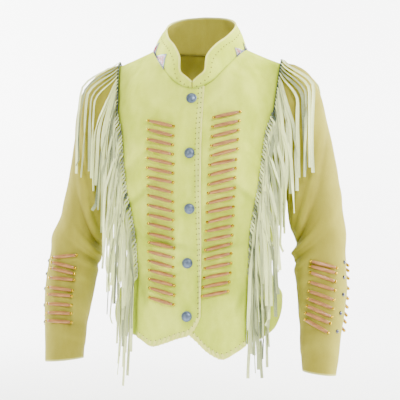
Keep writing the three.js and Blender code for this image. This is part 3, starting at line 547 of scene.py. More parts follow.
def rim_faces(rows, columns, tube, offset):
    """The strips of faces that join the outer grid's borders to the inner grid's."""
    number = np.arange(rows * columns).reshape(rows, columns)
    low = list(number[0]) + ([number[0, 0]] if tube else [])
    high = list(number[-1]) + ([number[-1, 0]] if tube else [])
    loops = [low[::-1], high]
    if not tube:
        loops += [list(number[:, 0]), list(number[::-1, -1])]
    return [(a, b, b + offset, a + offset) for loop in loops for a, b in zip(loop, loop[1:])]


def store(piece, name, values):
    """Keeps one number for each point of a piece, which its material can read."""
    kept = piece.data.attributes.new(name, "FLOAT", "POINT")
    kept.data.foreach_set("value", np.ravel(values).astype(np.float32))


SEAM_PULL, SEAM_REACH = 1.1, 3.2
SHADE_HIGH, SHADE_REACH = 0.5, 4.5


def cloth(name, points, flip, sewn, band, valley, tube=False, wall=WALL):
    """A closed shell of cloth. Points are in millimetres, as rows and columns of a grid."""
    rows, columns = points.shape[:2]
    normals = grid_normals(points, tube, flip)
    seam = border_distance(points, sewn)
    outer = points - normals * (SEAM_PULL * np.exp(-((seam / SEAM_REACH) ** 2)))[..., None]
    inner = points - normals * wall
    cells = cell_faces(rows, columns, tube)
    rim = np.array(rim_faces(rows, columns, tube, rows * columns))
    if flip:
        cells, rim = cells[:, ::-1], rim[:, ::-1]
    faces = np.concatenate((cells, cells[:, ::-1] + rows * columns, rim[:, ::-1]))
    indexes = [0] * len(cells) + [1] * len(cells) + [2] * len(rim)
    spots = np.concatenate((outer.reshape(-1, 3), inner.reshape(-1, 3))) * MM
    piece = mesh_piece(name, spots, faces, CLOTH_FINISHES, indexes)
    # Painted shade: darker along the sewn borders, where the seam's groove lies, added to the painted shade
    # of the folds.
    shade = SHADE_HIGH * np.exp(-((seam / SHADE_REACH) ** 2)) + valley
    store(piece, "valley", np.tile(np.clip(shade, 0, 1), (2, 1)))
    store(piece, "band", np.tile(band, (2, 1)))
    selected_only(piece)
    bpy.ops.object.shade_smooth_by_angle(angle=math.radians(50))
    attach(piece, "root")
    return piece, outer, normals


def outer_area(points):
    """The area of a grid of points, in square metres."""
    a, b = points[1:, 1:] - points[:-1, :-1], points[1:, :-1] - points[:-1, 1:]
    return float(np.linalg.norm(np.cross(a, b), axis=-1).sum() / 2) * MM * MM


def painted_shade_of(face, x, z):
    """How much painted shade a place of the body gets, from 0 to 1: more in the valleys of folds, towards the
    hem and at the sides.
    """
    broad, fine = fold_height(face, x, z)
    flank = 0.12 + 0.42 * np.clip(-(broad / 7 + fine / 2.6), -0.3, 1)
    # Painted shade, growing down towards the hem
    flank = flank + 0.16 * smooth((-z - 150) / 250)
    # Painted shade at the sides, where the body turns away
    side = np.clip(np.abs(x) / half_width_at(z), 0, 1) ** 4
    return flank + 0.2 * side


# %% The fronts
ROWS_BELOW, ROWS_ABOVE = 11, 6
TURNING = ROWS_BELOW / (ROWS_BELOW + ROWS_ABOVE)
PANEL_ROWS, FRONT_COLUMNS, SIDE_COLUMNS, BACK_COLUMNS = 170, 96, 48, 150


def panel_height(v, chest, hem, top):
    """The height of a row: level steps below the chest, and equal angles above it."""
    above = chest + (top - chest) * np.sin(np.clip((v - TURNING) / (1 - TURNING), 0, 1) * math.pi / 2)
    return np.where(v <= TURNING, lerp(hem, chest, v / TURNING), above)


def overlap_edge(z):
    return -lerp(25, 21, np.clip((z - CLOSING_TOP_Z) / (-520 - CLOSING_TOP_Z), 0, 1))


def underlap_edge(z):
    return np.full(np.shape(z), float(UNDERLAP_EDGE))


def front_grid(side, edge_at, hem_rows):
    """The grid of a front, from its closing edge out to the armhole and the fringed seam."""
    hem = curve(hem_rows)
    u, v = np.meshgrid(np.linspace(0, 1, FRONT_COLUMNS), np.linspace(0, 1, PANEL_ROWS))

    def seam(z):
        edge = np.where(z > JUNCTION_Z, armhole_at(z), fringe_seam_at(z))
        return np.minimum(edge, SHOULDER_X) - SEAM_GAP / 2

    foot_x = seam(SEAM_FOOT_Z)
    hem_x = lerp(edge_at(POINT_Z), foot_x, u)
    top_x = lerp(edge_at(CLOSING_TOP_Z), SHOULDER_X, u)
    outline = np.where(top_x < NECK_SIDE_X, front_neck_at(np.abs(top_x)), ridge_at(top_x))
    chest = FACES["front"]["chest"]
    z0 = panel_height(v, chest, hem(foot_x), SHOULDER_Z)
    z = panel_height(v, chest, hem(hem_x), outline)
    x = lerp(edge_at(z0), seam(z0), u)
    points = body_point("front", -x, z) if side < 0 else front_point(x, z)
    return points, painted_shade_of("front", side * x, z)


BAND_SOFTNESS = 2.5


def edge_band(points, borders, wide):
    """1 on a band along some borders, falling softly to 0."""
    return 1 - smooth((border_distance(points, borders) - wide) / BAND_SOFTNESS + 0.5)


HALVES = {
    "right": {"side": -1, "edge": overlap_edge, "hem": RIGHT_HEM_ROWS},
    "left": {"side": 1, "edge": underlap_edge, "hem": LEFT_HEM_ROWS},
}
fronts = {}
for word, half in HALVES.items():
    points, valley = front_grid(half["side"], half["edge"], half["hem"])
    band = 0.28 * edge_band(points, ("start", "low"), wide=11)
    piece, skin, out = cloth(
        f"front_{word}_suede", points, half["side"] < 0, sewn=("end", "high"), band=band, valley=valley)
    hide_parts(f"front_{word}")
    fronts[word] = {"piece": piece, "grid": points, "skin": skin, "out": out}
    print(f"front {word}:", round(outer_area(points), 3), "m2")


# %% The side fronts
def side_grid(side, hem_rows):
    """The grid of a side front, from the fringed seam to the side seam."""
    hem = curve(hem_rows)
    chest = FACES["front"]["chest"]
    top_row = (ROWS_BELOW + 2) / (ROWS_BELOW + ROWS_ABOVE)
    u, v = np.meshgrid(np.linspace(0, 1, SIDE_COLUMNS), np.linspace(0, 1, PANEL_ROWS - 30))

    def seam_x(z):
        return fringe_seam_at(z) + SEAM_GAP / 2

    def angle_at(x, z):
        return np.arcsin(np.clip(x / half_width_at(z), -1, 1))

    foot_x = seam_x(SEAM_FOOT_Z)
    side_top = ARMPIT_Z - 7 * SEAM_GAP
    top_z = lerp(panel_height(top_row, chest, 0, SHOULDER_Z), side_top, u)
    left_z = panel_height(v * top_row, chest, hem(foot_x), SHOULDER_Z)
    right_z = lerp(SIDE_HEM_Z, side_top, v)
    hem_lift = hem(lerp(foot_x, SIDE_HEM_X, u)) - lerp(hem(foot_x), SIDE_HEM_Z, u)
    z = lerp(left_z, right_z, u) + hem_lift * (1 - v) ** 2
    seam_angle = angle_at(seam_x(top_z), top_z)
    share = (angle_at(armhole_at(top_z), top_z) - seam_angle) / (math.pi / 2 - seam_angle)
    part = np.clip(lerp(u, np.maximum(share, 0.05 * u), v * v), 0, 1)
    x = half_width_at(z) * np.sin(lerp(angle_at(seam_x(z), z), math.pi / 2, part))
    return body_point("front", side * x, z), painted_shade_of("front", side * x, z)


sides = {}
for word, half in HALVES.items():
    points, valley = side_grid(half["side"], half["hem"])
    piece, _, _ = cloth(
        f"side_{word}_suede", points, half["side"] < 0, sewn=("start", "end", "high"),
        band=0.5 * edge_band(points, ("low",), wide=3), valley=valley)
    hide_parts(f"side_{word}")
    sides[word] = {"piece": piece, "grid": points}
    print(f"side front {word}:", round(outer_area(points), 3), "m2")


# %% The back
def back_grid():
    hem = curve(BACK_HEM_ROWS)
    chest = FACES["back"]["chest"]
    u, v = np.meshgrid(np.linspace(-1, 1, BACK_COLUMNS), np.linspace(0, 1, PANEL_ROWS))
    z0 = panel_height(v, chest, SIDE_HEM_Z, SHOULDER_Z)
    top_x = np.abs(u) * SHOULDER_X
    outline = np.where(top_x < NECK_SIDE_X, back_neck_at(top_x), ridge_at(top_x))
    z = panel_height(v, chest, hem(np.abs(u) * SIDE_HEM_X), outline)
    edge = np.where(z0 > ARMPIT_Z, armhole_at(z0) - SEAM_GAP / 2, half_width_at(z0))
    turned = lerp(np.sin(u * math.pi / 2), u, smooth((v - 0.4) / 0.35))
    return body_point("back", edge * turned, z), painted_shade_of("back", edge * turned, z)


back_points, back_painted_shade = back_grid()
back, _, _ = cloth(
    "back_suede", back_points, True, sewn=("start", "end", "high"),
    band=0.5 * edge_band(back_points, ("low",), wide=3), valley=back_painted_shade)
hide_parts("back")
print("back:", round(outer_area(back_points), 3), "m2")

# %% [markdown]
# ## Sleeves
#
# Each sleeve is a tube of rings from the armhole to the cuff. A ring is given by its outermost and
# innermost points as seen from the front, how far it lies forward, and its half depth. The elbow
# is bent a little, so the cloth is squeezed inside it and its creases fan out from there. The fine
# creases here follow the broad ones of the CAD model.

# %% Sizes of the sleeves
# Outermost x and z, innermost x and z, place forward or back, half depth
RIGHT_SLEEVE_ROWS = [
    (203, -13, 188, -291, 0, 60), (226, -29, 192, -299, 1, 61), (246, -48, 195, -310, 2, 61),
    (261, -74, 197, -322, 3, 61), (270, -112, 199, -336, 4, 60), (274, -158, 202, -350, 4, 59),
    (281, -208, 207, -364, 4, 58), (290, -260, 212, -377, 3, 57), (300, -314, 217, -390, 1, 57),
    (312, -354, 219, -403, -2, 56), (322, -384, 221, -418, -7, 54), (325, -412, 222, -435, -13, 53),
    (328, -440, 224, -455, -21, 51), (330, -470, 227, -480, -30, 50), (329, -504, 231, -509, -42, 48),
    (326, -540, 234, -541, -55, 46), (322, -575, 236, -574, -68, 44), (318, -608, 237, -604, -80, 42),
    (315, -638, 237, -631, -90, 40),
]
LEFT_SLEEVE_ROWS = [
    (203, -12, 188, -291, 0, 60), (225, -24, 190, -299, 1, 61), (242, -42, 191, -310, 2, 61),
    (255, -70, 192, -322, 3, 61), (266, -108, 193, -335, 4, 60), (276, -152, 195, -347, 4, 59),
    (287, -202, 199, -359, 4, 58), (296, -254, 205, -371, 3, 57), (303, -306, 209, -384, 1, 57),
    (308, -348, 208, -398, -2, 55), (309, -382, 206, -414, -7, 53), (311, -412, 206, -433, -13, 51),
    (314, -442, 209, -455, -21, 50), (315, -476, 214, -482, -31, 48), (313, -514, 219, -514, -44, 46),
    (309, -552, 222, -549, -57, 44), (305, -589, 225, -584, -70, 42), (302, -624, 228, -617, -81, 40),
    (299, -656, 231, -647, -91, 38),
]
LAST_RING = len(LEFT_SLEEVE_ROWS)

# Ring and angle of the middle, drift in rings over a quarter turn, reach round the arm in
# degrees and along it in rings, and height. Angle 0 is outside, 90 in front, 180 inside.
SLEEVE_FOLDS = [
    (9.2, 150, 1.6, 62, 0.55, -6), (10.4, 160, 1.2, 58, 0.5, 6), (11.5, 155, 1.5, 60, 0.5, -5),
    (8.0, 120, 2.4, 60, 0.6, 4), (5.2, 105, 2.6, 55, 0.8, 3.5), (10.6, 15, -1.2, 50, 0.7, 4),
    (9.4, 215, -1.8, 55, 0.6, 5), (6.0, 250, -2.6, 60, 0.9, 4), (15.4, 130, 0.7, 60, 0.55, 3),
]
SLEEVE_CREASES = [
    (9.8, 140, 1.4, 48, 0.22, -2.6), (10.9, 135, 1.3, 50, 0.22, 2.6), (8.6, 128, 1.9, 46, 0.24, -2.4),
    (12.2, 140, 1.1, 44, 0.24, 2.0), (7.2, 112, 2.2, 46, 0.28, 2.0), (4.2, 95, 2.4, 42, 0.3, -1.8),
    (3.1, 120, 1.8, 40, 0.3, 1.8), (13.4, 115, 0.9, 44, 0.25, 1.6), (16.4, 100, 0.5, 50, 0.25, -1.4),
    (17.6, 150, 0.5, 60, 0.22, 1.4), (9.0, 30, 1.2, 40, 0.3, 1.6), (6.4, 40, 1.8, 36, 0.32, -1.4),
    (9.9, 235, -1.5, 46, 0.24, -2.4), (11.2, 225, -1.2, 46, 0.24, 2.2), (7.6, 260, -2.0, 44, 0.3, 1.8),
    (4.6, 290, -2.0, 40, 0.32, -1.6), (14.6, 250, -0.6, 50, 0.26, 1.4), (12.8, 330, 0.6, 40, 0.26, -1.3),
]


def sleeve_hills(rows, ring, degrees):
    total = 0
    for at_ring, at_angle, drift, round_reach, reach, high in rows:
        turn = (degrees - at_angle + 540) % 360 - 180
        middle = at_ring + drift * turn / 90
        total = total + high * np.exp(-((turn / round_reach) ** 2) - ((ring - middle) / reach) ** 2)
    return total


def armhole_point(angle):
    """The loop where a sleeve is sewn in, from the shoulder forwards and down to the armpit."""
    z = lerp(ARMPIT_Z, SHOULDER_Z, (1 + np.cos(angle)) / 2)
    front = body_point("front", armhole_at(z), z)
    behind = body_point("back", armhole_at(z), z)
    points = np.where((np.sin(angle) >= 0)[..., None], front, behind)
    points[..., 0] += 2 * SEAM_GAP
    return points


def sleeve_maker(rows):
    """A function of ring and angle that gives a point of a sleeve, drawn on the wearer's left."""
    numbered = [(i + 1, *row) for i, row in enumerate(rows)]
    out_x, out_z, in_x, in_z, forward, depth = (curve(numbered, k) for k in range(1, 7))

    def ring_point(ring, angle):
        share = (1 + np.cos(angle)) / 2
        x = lerp(in_x(ring), out_x(ring), share)
        z = lerp(in_z(ring), out_z(ring), share)
        return np.stack((x, forward(ring) - depth(ring) * np.sin(angle), z), axis=-1)

    def folded_point(ring, angle, fine):
        folds = SLEEVE_FOLDS + SLEEVE_CREASES if fine else SLEEVE_FOLDS
        fold = sleeve_hills(folds, ring, np.degrees(angle))
        own = ring_point(ring, angle)
        middle = (ring_point(ring, 0 * angle) + ring_point(ring, 0 * angle + math.pi)) / 2
        swollen = middle + (own - middle) * (1 + fold / 50)[..., None]
        if fine:
            swollen = swollen + unit(own - middle) * ripple(own, 0.6)[..., None]
        return swollen

    def point(ring, angle, fine=True):
        ring, angle = np.broadcast_arrays(np.asarray(ring, float), np.asarray(angle, float))
        share = np.clip(ring, 0, 1)[..., None]
        first = lerp(armhole_point(angle), folded_point(1 + 0 * ring, angle, fine), share)
        return np.where((ring < 1)[..., None], first, folded_point(ring, angle, fine))

    return point


SLEEVES = {
    "right": {"side": -1, "point": sleeve_maker(RIGHT_SLEEVE_ROWS)},
    "left": {"side": 1, "point": sleeve_maker(LEFT_SLEEVE_ROWS)},
}


def sleeve_point(word, ring, angle):
    return SLEEVES[word]["point"](ring, angle) * np.array((SLEEVES[word]["side"], 1, 1))


# %% The sleeves
RING_SIDES, RING_COUNT = 104, 230
for word, shape in SLEEVES.items():
    round_arm = np.arange(RING_SIDES) / RING_SIDES * 2 * math.pi
    turns, rings = np.meshgrid(round_arm, np.linspace(0, LAST_RING, RING_COUNT))
    points = sleeve_point(word, rings, turns)
    # Painted shade: deeper in the folds and creases, and on the inner side of the arm, towards the body.
    folds = sleeve_hills(SLEEVE_FOLDS, rings, np.degrees(turns)) / 8
    folds = folds + sleeve_hills(SLEEVE_CREASES, rings, np.degrees(turns)) / 3.5
    inside = 0.22 * (0.5 - 0.5 * np.cos(turns)) ** 1.5
    valley = 0.14 + 0.4 * np.clip(-folds, -0.4, 1) + inside
    cuff = 0.5 * edge_band(points, ("high",), wide=3)
    piece, _, _ = cloth(
        f"sleeve_{word}_suede", points, shape["side"] > 0, sewn=("low",), tube=True, band=cuff,
        valley=valley)
    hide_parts(f"sleeve_{word}")
    shape["piece"] = piece
    shape["grid"] = points
    print(f"sleeve {word}:", round(outer_area(points), 3), "m2")

# %% [markdown]
# ## Collar
#
# The collar is a band that stands up from the neckline. Its free edge is high behind and falls
# away in front to the closing, where the two ends meet. It is cut a little thicker than the rest,
# and its laced edge is pale.

# %% The collar
# Angle round the neck from the closing, and the free edge's x, y and z
COLLAR_ROWS = [
    (0, 0, -95, -51), (10, 12, -96, -40), (22, 26, -95, -27), (38, 29, -86, 4), (55, 44, -64, 29),
    (72, 64, -30, 51), (90, 75, 6, 73), (115, 70, 38, 89), (145, 44, 60, 100), (180, 0, 68, 104),
]
COLLAR_WALL = 2.6
collar_edge = [curve(COLLAR_ROWS, k) for k in (1, 2, 3)]


def collar_point(turn, v):
    """A point of the collar's outside. Turn goes from the closing's right round behind to its left."""
    turn, v = np.broadcast_arrays(np.asarray(turn, float), np.asarray(v, float))
    angle = 180 - np.abs(turn)
    side = np.where(turn < 0, -1, 1)
    x = NECK_SIDE_X * np.sin(np.radians(angle))
    front = body_point("front", x, front_neck_at(x), folded=False)
    behind = body_point("back", x, back_neck_at(x), folded=False)
    foot = np.where((angle < 90)[..., None], front, behind)
    rim = np.stack([value(angle) for value in collar_edge], axis=-1)
    up = rim - foot
    high = np.linalg.norm(up, axis=-1)
    share = lerp(-4 / high, 1, v)
    radians = np.radians(angle)
    away = np.stack((np.sin(radians), -np.cos(radians), np.full(angle.shape, 0.2)), axis=-1)
    bulge = 5 * np.sin(math.pi * v) * np.minimum(high / 70, 1)
    points = foot + up * share[..., None] + away * bulge[..., None]
    points[..., 0] *= side
    waviness = ripple(points, 0.5) * v
    return points + away * np.stack((side, 1 + 0 * side, 1 + 0 * side), axis=-1) * waviness[..., None]


turns, shares = np.meshgrid(np.linspace(-179.2, 179.2, 220), np.linspace(0, 1, 40))
collar_points = collar_point(turns, shares)
# Painted shade, darker down towards the neck seam.
collar_painted_shade = 0.12 + 0.2 * (1 - shares) ** 3
collar, collar_skin, collar_out = cloth(
    "collar_suede", collar_points, True, sewn=("low",), wall=COLLAR_WALL,
    band=0.6 * edge_band(collar_points, ("high",), wide=2.5), valley=collar_painted_shade)
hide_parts("collar")
print("collar:", round(outer_area(collar_points), 4), "m2")

# %% [markdown]
# ## Small hard parts
#
# Beads, studs and snaps are turned shapes. One is modelled from a disc that is extruded and resized
# ring by ring along its profile, and the rest are copies of it, each laid on the cloth where it
# belongs. Every piece then holds all the copies of one kind in one column.

# %% Materials of the hard parts and the trim
SPECKLE_DEPTH = 0.0002


def speckled(name, light, dark, roughness, scale, stretch=None, **fixed):
    """A material between two colours, with a little roughness that varies."""
    finish = Finish(name)
    place = finish.object_place()
    blotch = finish.noise(place, scale, detail=4, stretch=stretch)
    fine = finish.noise(place, scale * 9, detail=2)
    tone = finish.mixed((blotch * 1.6 + 0.45).clipped(), light, dark)
    rough = (fine * 0.12 + roughness).clipped()
    return finish.surface(tone, rough, blotch * 0.5 + fine * 0.4, SPECKLE_DEPTH, **fixed)


bone = speckled("bone_pipe", rgb(186, 128, 62), rgb(118, 70, 26), 0.34, 70, (1, 1, 3), Coat_Weight=0.2)
brass = speckled("brass_bead", rgb(226, 190, 22), rgb(120, 88, 4), 0.22, 200, Metallic=0.9)
silver = speckled("silver_stud", rgb(120, 122, 128), rgb(60, 62, 68), 0.22, 200, Metallic=1.0)
pewter = speckled("pewter_snap", rgb(120, 136, 156), rgb(74, 86, 104), 0.4, 240, Metallic=0.75)
lace = speckled("lace_suede", rgb(240, 244, 130), rgb(214, 214, 84), 0.9, 90, Sheen_Weight=0.1)
# The lace holes are dark: painted shade for the inside of each punched hole.
hole_painted_shade = speckled("lace_hole", rgb(84, 80, 58), rgb(48, 46, 34), 0.95, 90)
GLASS = {
    "navy": (28, 34, 92), "sky": (132, 176, 226), "white": (236, 238, 240), "pink": (232, 138, 158),
    "red": (196, 34, 46), "lilac": (186, 168, 214), "purple": (96, 54, 130),
}
glass = {
    name: speckled(
        f"glass_{name}", rgb(*color), rgb(*(0.8 * part for part in color)), 0.22, 300, Coat_Weight=0.5)
    for name, color in GLASS.items()
}
print("glass colours:", len(glass))


# %% Turning a profile and copying the result
def turned(name, profile, sides, finish):
    """A solid turned about its Z axis, from rings of radius and height in millimetres."""
    bpy.ops.object.select_all(action="DESELECT")
    radius, height = profile[0]
    bpy.ops.mesh.primitive_circle_add(vertices=sides, radius=radius * MM, fill_type="NGON")
    piece = bpy.context.active_object
    piece.name = name
    bpy.ops.object.mode_set(mode="EDIT")
    bpy.ops.mesh.select_all(action="SELECT")
    bpy.ops.transform.translate(value=(0, 0, height * MM))
    for wide, high in profile[1:]:
        rise = {"value": (0, 0, (high - height) * MM)}
        bpy.ops.mesh.extrude_region_move(TRANSFORM_OT_translate=rise)
        grow = wide / radius
        bpy.ops.transform.resize(value=(grow, grow, 1), center_override=(0, 0, 0))
        radius, height = wide, high
    bpy.ops.mesh.select_all(action="SELECT")
    bpy.ops.mesh.normals_make_consistent(inside=False)
    bpy.ops.object.mode_set(mode="OBJECT")
    bpy.ops.object.shade_smooth_by_angle(angle=math.radians(42))
    piece.data.materials.append(finish)
    return piece


def strung(name, model, places, finishes=None, kinds=None):
    """One piece made of copies of a model. A place is a point in millimetres and a 3 x 3 turn."""
    corners = np.array([corner.co for corner in model.data.vertices])
    faces = [list(face.vertices) for face in model.data.polygons]
    points = np.concatenate([corners @ np.asarray(turn).T + np.asarray(spot) * MM for spot, turn in places])
    copies = [[i + k * len(corners) for i in face] for k in range(len(places)) for face in faces]
    indexes = None if kinds is None else np.repeat(kinds, len(faces))
    piece = mesh_piece(name, points, copies, finishes or [model.data.materials[0]], indexes)
    selected_only(piece)
    bpy.ops.object.shade_smooth_by_angle(angle=math.radians(42))
    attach(piece, "root")
    return piece


def basis(along, out):
    """A turn that brings Z to one direction and X close to another."""
    z = unit(np.asarray(along, float))
    y = unit(np.cross(z, out))
    return np.stack((np.cross(y, z), y, z), axis=1)


def discard(model):
    selected_only(model)
    bpy.ops.object.delete()


PIPE_PROFILE = [
    (1.0, -24.4), (1.4, -25.2), (2.3, -25.4), (2.9, -24.8), (3.5, -19), (3.9, -10), (4.1, 0),
    (3.9, 10), (3.5, 19), (2.9, 24.8), (2.3, 25.4), (1.4, 25.2), (1.0, 24.4),
]
pipe_model = turned("pipe_model", PIPE_PROFILE, 14, bone)
BALL_PROFILE = [(1.0, -3.0), (2.4, -2.3), (3.4, -0.8), (3.4, 0.8), (2.4, 2.3), (1.0, 3.0)]
ball_model = turned("ball_model", BALL_PROFILE, 10, brass)
stud_model = turned("stud_model", [(3.6, -0.6), (4.3, 0.8), (4.2, 2.4), (3.2, 4.0), (1.6, 4.8)], 16, silver)
seed_model = turned("seed_model", [(0.4, -0.62), (0.95, -0.36), (0.95, 0.36), (0.4, 0.62)], 6, glass["white"])
# The lace holes are dark discs that stand for the shade inside each hole.
hole_model = turned("hole_model", [(1.25, -0.5), (1.25, 0.12), (0.7, 0.25)], 8, hole_painted_shade)
SNAP_PROFILE = [
    (10.8, -0.6), (11.2, 0.5), (10.8, 1.3), (9.8, 1.5), (9.2, 1.1), (8.6, 1.7), (7.4, 2.6), (5.4, 3.3),
    (3.0, 3.7), (1.0, 3.8),
]
snap_model = turned("snap_model", SNAP_PROFILE, 36, pewter)
print("models turned: 6")


# %% Hair pipes down the fronts
def on_cloth(surface, a, b, step_a, step_b):
    """A place on the cloth, two directions along it and the direction out of it."""
    along_a = surface(a + step_a, b) - surface(a - step_a, b)
    along_b = surface(a, b + step_b) - surface(a, b - step_b)
    return surface(a, b), unit(along_a), unit(along_b), unit(np.cross(along_a, along_b))


def right_point(x, z):
    return body_point("front", x, z)


PIPE_RADIUS, PIPE_HALF_LENGTH, END_TAPER = 4.1, 25, 1.2
BALL_REACH, BALL_RADIUS = 28.2, 3.3


def lay_pipe(surface, x, z, tilt):
    """Where a pipe lies on the cloth, and where its two end beads do."""
    point, along_x, along_z, out = on_cloth(surface, x, z, 14, 14)
    along = along_x * math.cos(tilt) + along_z * math.sin(tilt)
    reach = np.linspace(-PIPE_HALF_LENGTH, PIPE_HALF_LENGTH, 15)
    under = surface(x + reach * along[0], z + reach * along[2])
    needed = (under - point) @ out + PIPE_RADIUS - END_TAPER * np.abs(reach / PIPE_HALF_LENGTH)
    centre = point + out * (needed.max() + 0.1)
    turn = basis(along, out)
    ends = []
    for end in (-BALL_REACH, BALL_REACH):
        below = surface(x + end * along[0], z + end * along[2])
        lift = max((below - centre) @ out + BALL_RADIUS, -0.5)
        ends.append((centre + along * end + out * lift, turn))
    return (centre, turn), ends


random.seed(11)
# First pipe's x, last pipe's x, first z, last z, side and the cloth that it lies on
PIPE_COLUMNS = {
    "right": (-61, -60, -139, -507, -1, right_point), "left": (76, 53, -122, -491, 1, front_point),
}
PIPE_COUNT = 20
for word, (top_x, hem_x, top_z, hem_z, side, surface) in PIPE_COLUMNS.items():
    laid, beads = [], []
    for i in range(PIPE_COUNT):
        share = i / (PIPE_COUNT - 1)
        tilt = math.radians(13 + random.uniform(-1.6, 1.6)) * side
        x = lerp(top_x, hem_x, share) + random.uniform(-0.8, 0.8)
        pipe, ends = lay_pipe(surface, x, lerp(top_z, hem_z, share), tilt)
        laid.append(pipe)
        beads.extend(ends)
    pipes = strung(f"pipes_{word}", pipe_model, laid)
    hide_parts(*[f"pipe_{word}_{i + 1}" for i in range(PIPE_COUNT)])
    strung(f"brass_{word}", ball_model, beads)
    print(f"hair pipes, {word}:", len(laid), "brass beads:", len(beads))

# %% Hair pipes and studs on the forearms
# Ring of each pipe, and how many degrees it falls towards the picture's right
FOREARM = {
    "right": [
        (11.85, -6), (12.63, 12), (13.1, 12), (13.7, 4), (14.4, 6), (14.8, 3), (15.37, 2), (15.89, 0),
        (16.4, 2),
    ],
    "left": [
        (12.43, 14), (12.8, 15), (13.3, 20), (13.9, 17), (14.45, 18), (14.9, 20), (15.33, 23), (15.7, 21),
        (16.14, 27),
    ],
}
# Angle round the arm of the front column's first and last pipe
FRONT_ANGLES = {"right": (80, 86), "left": (77, 96)}
OUTER_ANGLE, OUTER_LEAN = -42, math.radians(25)
# First and last ring, then first and last angle
STUDS = {"right": (12.6, 16.5, 8, 8), "left": (12.5, 16.4, 19, 36)}
STUD_COUNT = 5
ARM_PIPE_LIFT, ARM_BALL_DROP, ARM_BALL_REACH = 3.3, 1.0, 28.0


def sleeve_frame(word, ring, degrees):
    """A place on a sleeve, the directions along the arm and round it, and the way out."""
    def surface(at_ring, at_angle):
        return sleeve_point(word, at_ring, np.radians(at_angle))
    point, down, round_arm, out = on_cloth(surface, ring, degrees, 0.15, 4.0)
    middle = (surface(ring, 0) + surface(ring, 180)) / 2
    return point, down, round_arm, out * np.sign((point - middle) @ out)


for word in SLEEVES:
    laid, beads, studs = [], [], []
    for column in range(2):
        for i, (ring, fall) in enumerate(FOREARM[word]):
            degrees = lerp(*FRONT_ANGLES[word], i / 8) if column == 0 else OUTER_ANGLE
            point, down, round_arm, out = sleeve_frame(word, ring, degrees)
            if column == 0:
                slope = -math.tan(math.radians(fall))
                share = (slope * round_arm[0] - round_arm[2]) / (down[2] - slope * down[0])
            else:
                share = math.tan(OUTER_LEAN)
            along = unit(round_arm + down * share)
            centre = point + out * ARM_PIPE_LIFT
            turn = basis(along, out)
            laid.append((centre, turn))
            for end in (-ARM_BALL_REACH, ARM_BALL_REACH):
                beads.append((centre + along * end - out * ARM_BALL_DROP, turn))
    first_ring, last_ring, first_angle, last_angle = STUDS[word]
    for share in np.linspace(0, 1, STUD_COUNT):
        place = lerp(first_ring, last_ring, share), lerp(first_angle, last_angle, share)
        point, down, round_arm, out = sleeve_frame(word, *place)
        studs.append((point + out * 0.2, basis(out, down)))
    strung(f"sleeve_pipes_{word}", pipe_model, laid)
    strung(f"sleeve_brass_{word}", ball_model, beads)
    strung(f"studs_{word}", stud_model, studs)
    print(f"forearm pipes, {word}:", len(laid), "studs:", len(studs))

# %% Snaps down the closing
for i, (x, z) in enumerate(SNAPS):
    point, along_x, along_z, out = on_cloth(right_point, x, z, 10, 10)
    snap = strung(f"snap_{i + 1}_dome", snap_model, [(point + out * 0.9, basis(out, along_x))])
    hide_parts(f"snap_{i + 1}")
print("snaps:", len(SNAPS))

# %% [markdown]
# ## Fringe
#
# The fringe is a strip of suede sewn into the armhole seam and the seam down the front, cut into
# strands. Each strand leaves the seam in a small hook, settles beside its neighbours and falls.
# Strands from higher up lie over the ones below. Some are twisted, so they show an edge. Each has
# its own tone, partly random and partly painted shade: some strands are dark as if shadowed, the
# roots are darker, and the strip along the seam is dark for the shade between the roots. At the
# shoulder they fan out over the sleeve.

# %% Strips with a soft section
SECTION = np.array([(-1, -1), (-0.45, -1), (0.45, -1), (1, -1), (1, 1), (0.45, 1), (-0.45, 1), (-1, 1)])
END_QUADS = np.array([(0, 1, 6, 7), (1, 2, 5, 6), (2, 3, 4, 5)])


def strip(path, out, width, thick, twist=0, cup=0.5):
    """The corners and faces of a strip along a path, in millimetres."""
    along = unit(np.gradient(path, axis=0))
    across = unit(np.cross(along, out))
    up = np.cross(across, along)
    turn = np.broadcast_to(np.asarray(twist, float), len(path))[:, None]
    across, up = across * np.cos(turn) + up * np.sin(turn), up * np.cos(turn) - across * np.sin(turn)
    wide = np.broadcast_to(np.asarray(width, float), len(path))[:, None]
    side = SECTION[:, 0] * wide / 2
    high = SECTION[:, 1] * thick / 2 + cup * (SECTION[:, 0] ** 2 - 0.5) * np.minimum(wide / 8, 1)
    points = path[:, None] + across[:, None] * side[..., None] + up[:, None] * high[..., None]
    ring = np.arange(8)
    tube = np.stack((ring, (ring + 1) % 8, (ring + 1) % 8 + 8, ring + 8), axis=1)
    faces = np.concatenate([tube + 8 * i for i in range(len(path) - 1)])
    last = END_QUADS + 8 * (len(path) - 1)
    return points.reshape(-1, 3), np.concatenate((faces, END_QUADS[:, ::-1], last))


def joined_strips(name, strips, finishes, tones=None):
    """One piece from many strips, with a tone kept on every point."""
    counts = np.cumsum([0] + [len(points) for points, _ in strips])
    points = np.concatenate([points for points, _ in strips]) * MM
    faces = np.concatenate([faces + start for (_, faces), start in zip(strips, counts)])
    piece = mesh_piece(name, points, faces, finishes)
    store(piece, "tone", np.concatenate(tones) if tones else np.zeros(len(points)))
    selected_only(piece)
    bpy.ops.object.mode_set(mode="EDIT")
    bpy.ops.mesh.select_all(action="SELECT")
    bpy.ops.mesh.normals_make_consistent(inside=False)
    bpy.ops.object.mode_set(mode="OBJECT")
    bpy.ops.object.shade_smooth_by_angle(angle=math.radians(55))
    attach(piece, "root")
    return piece


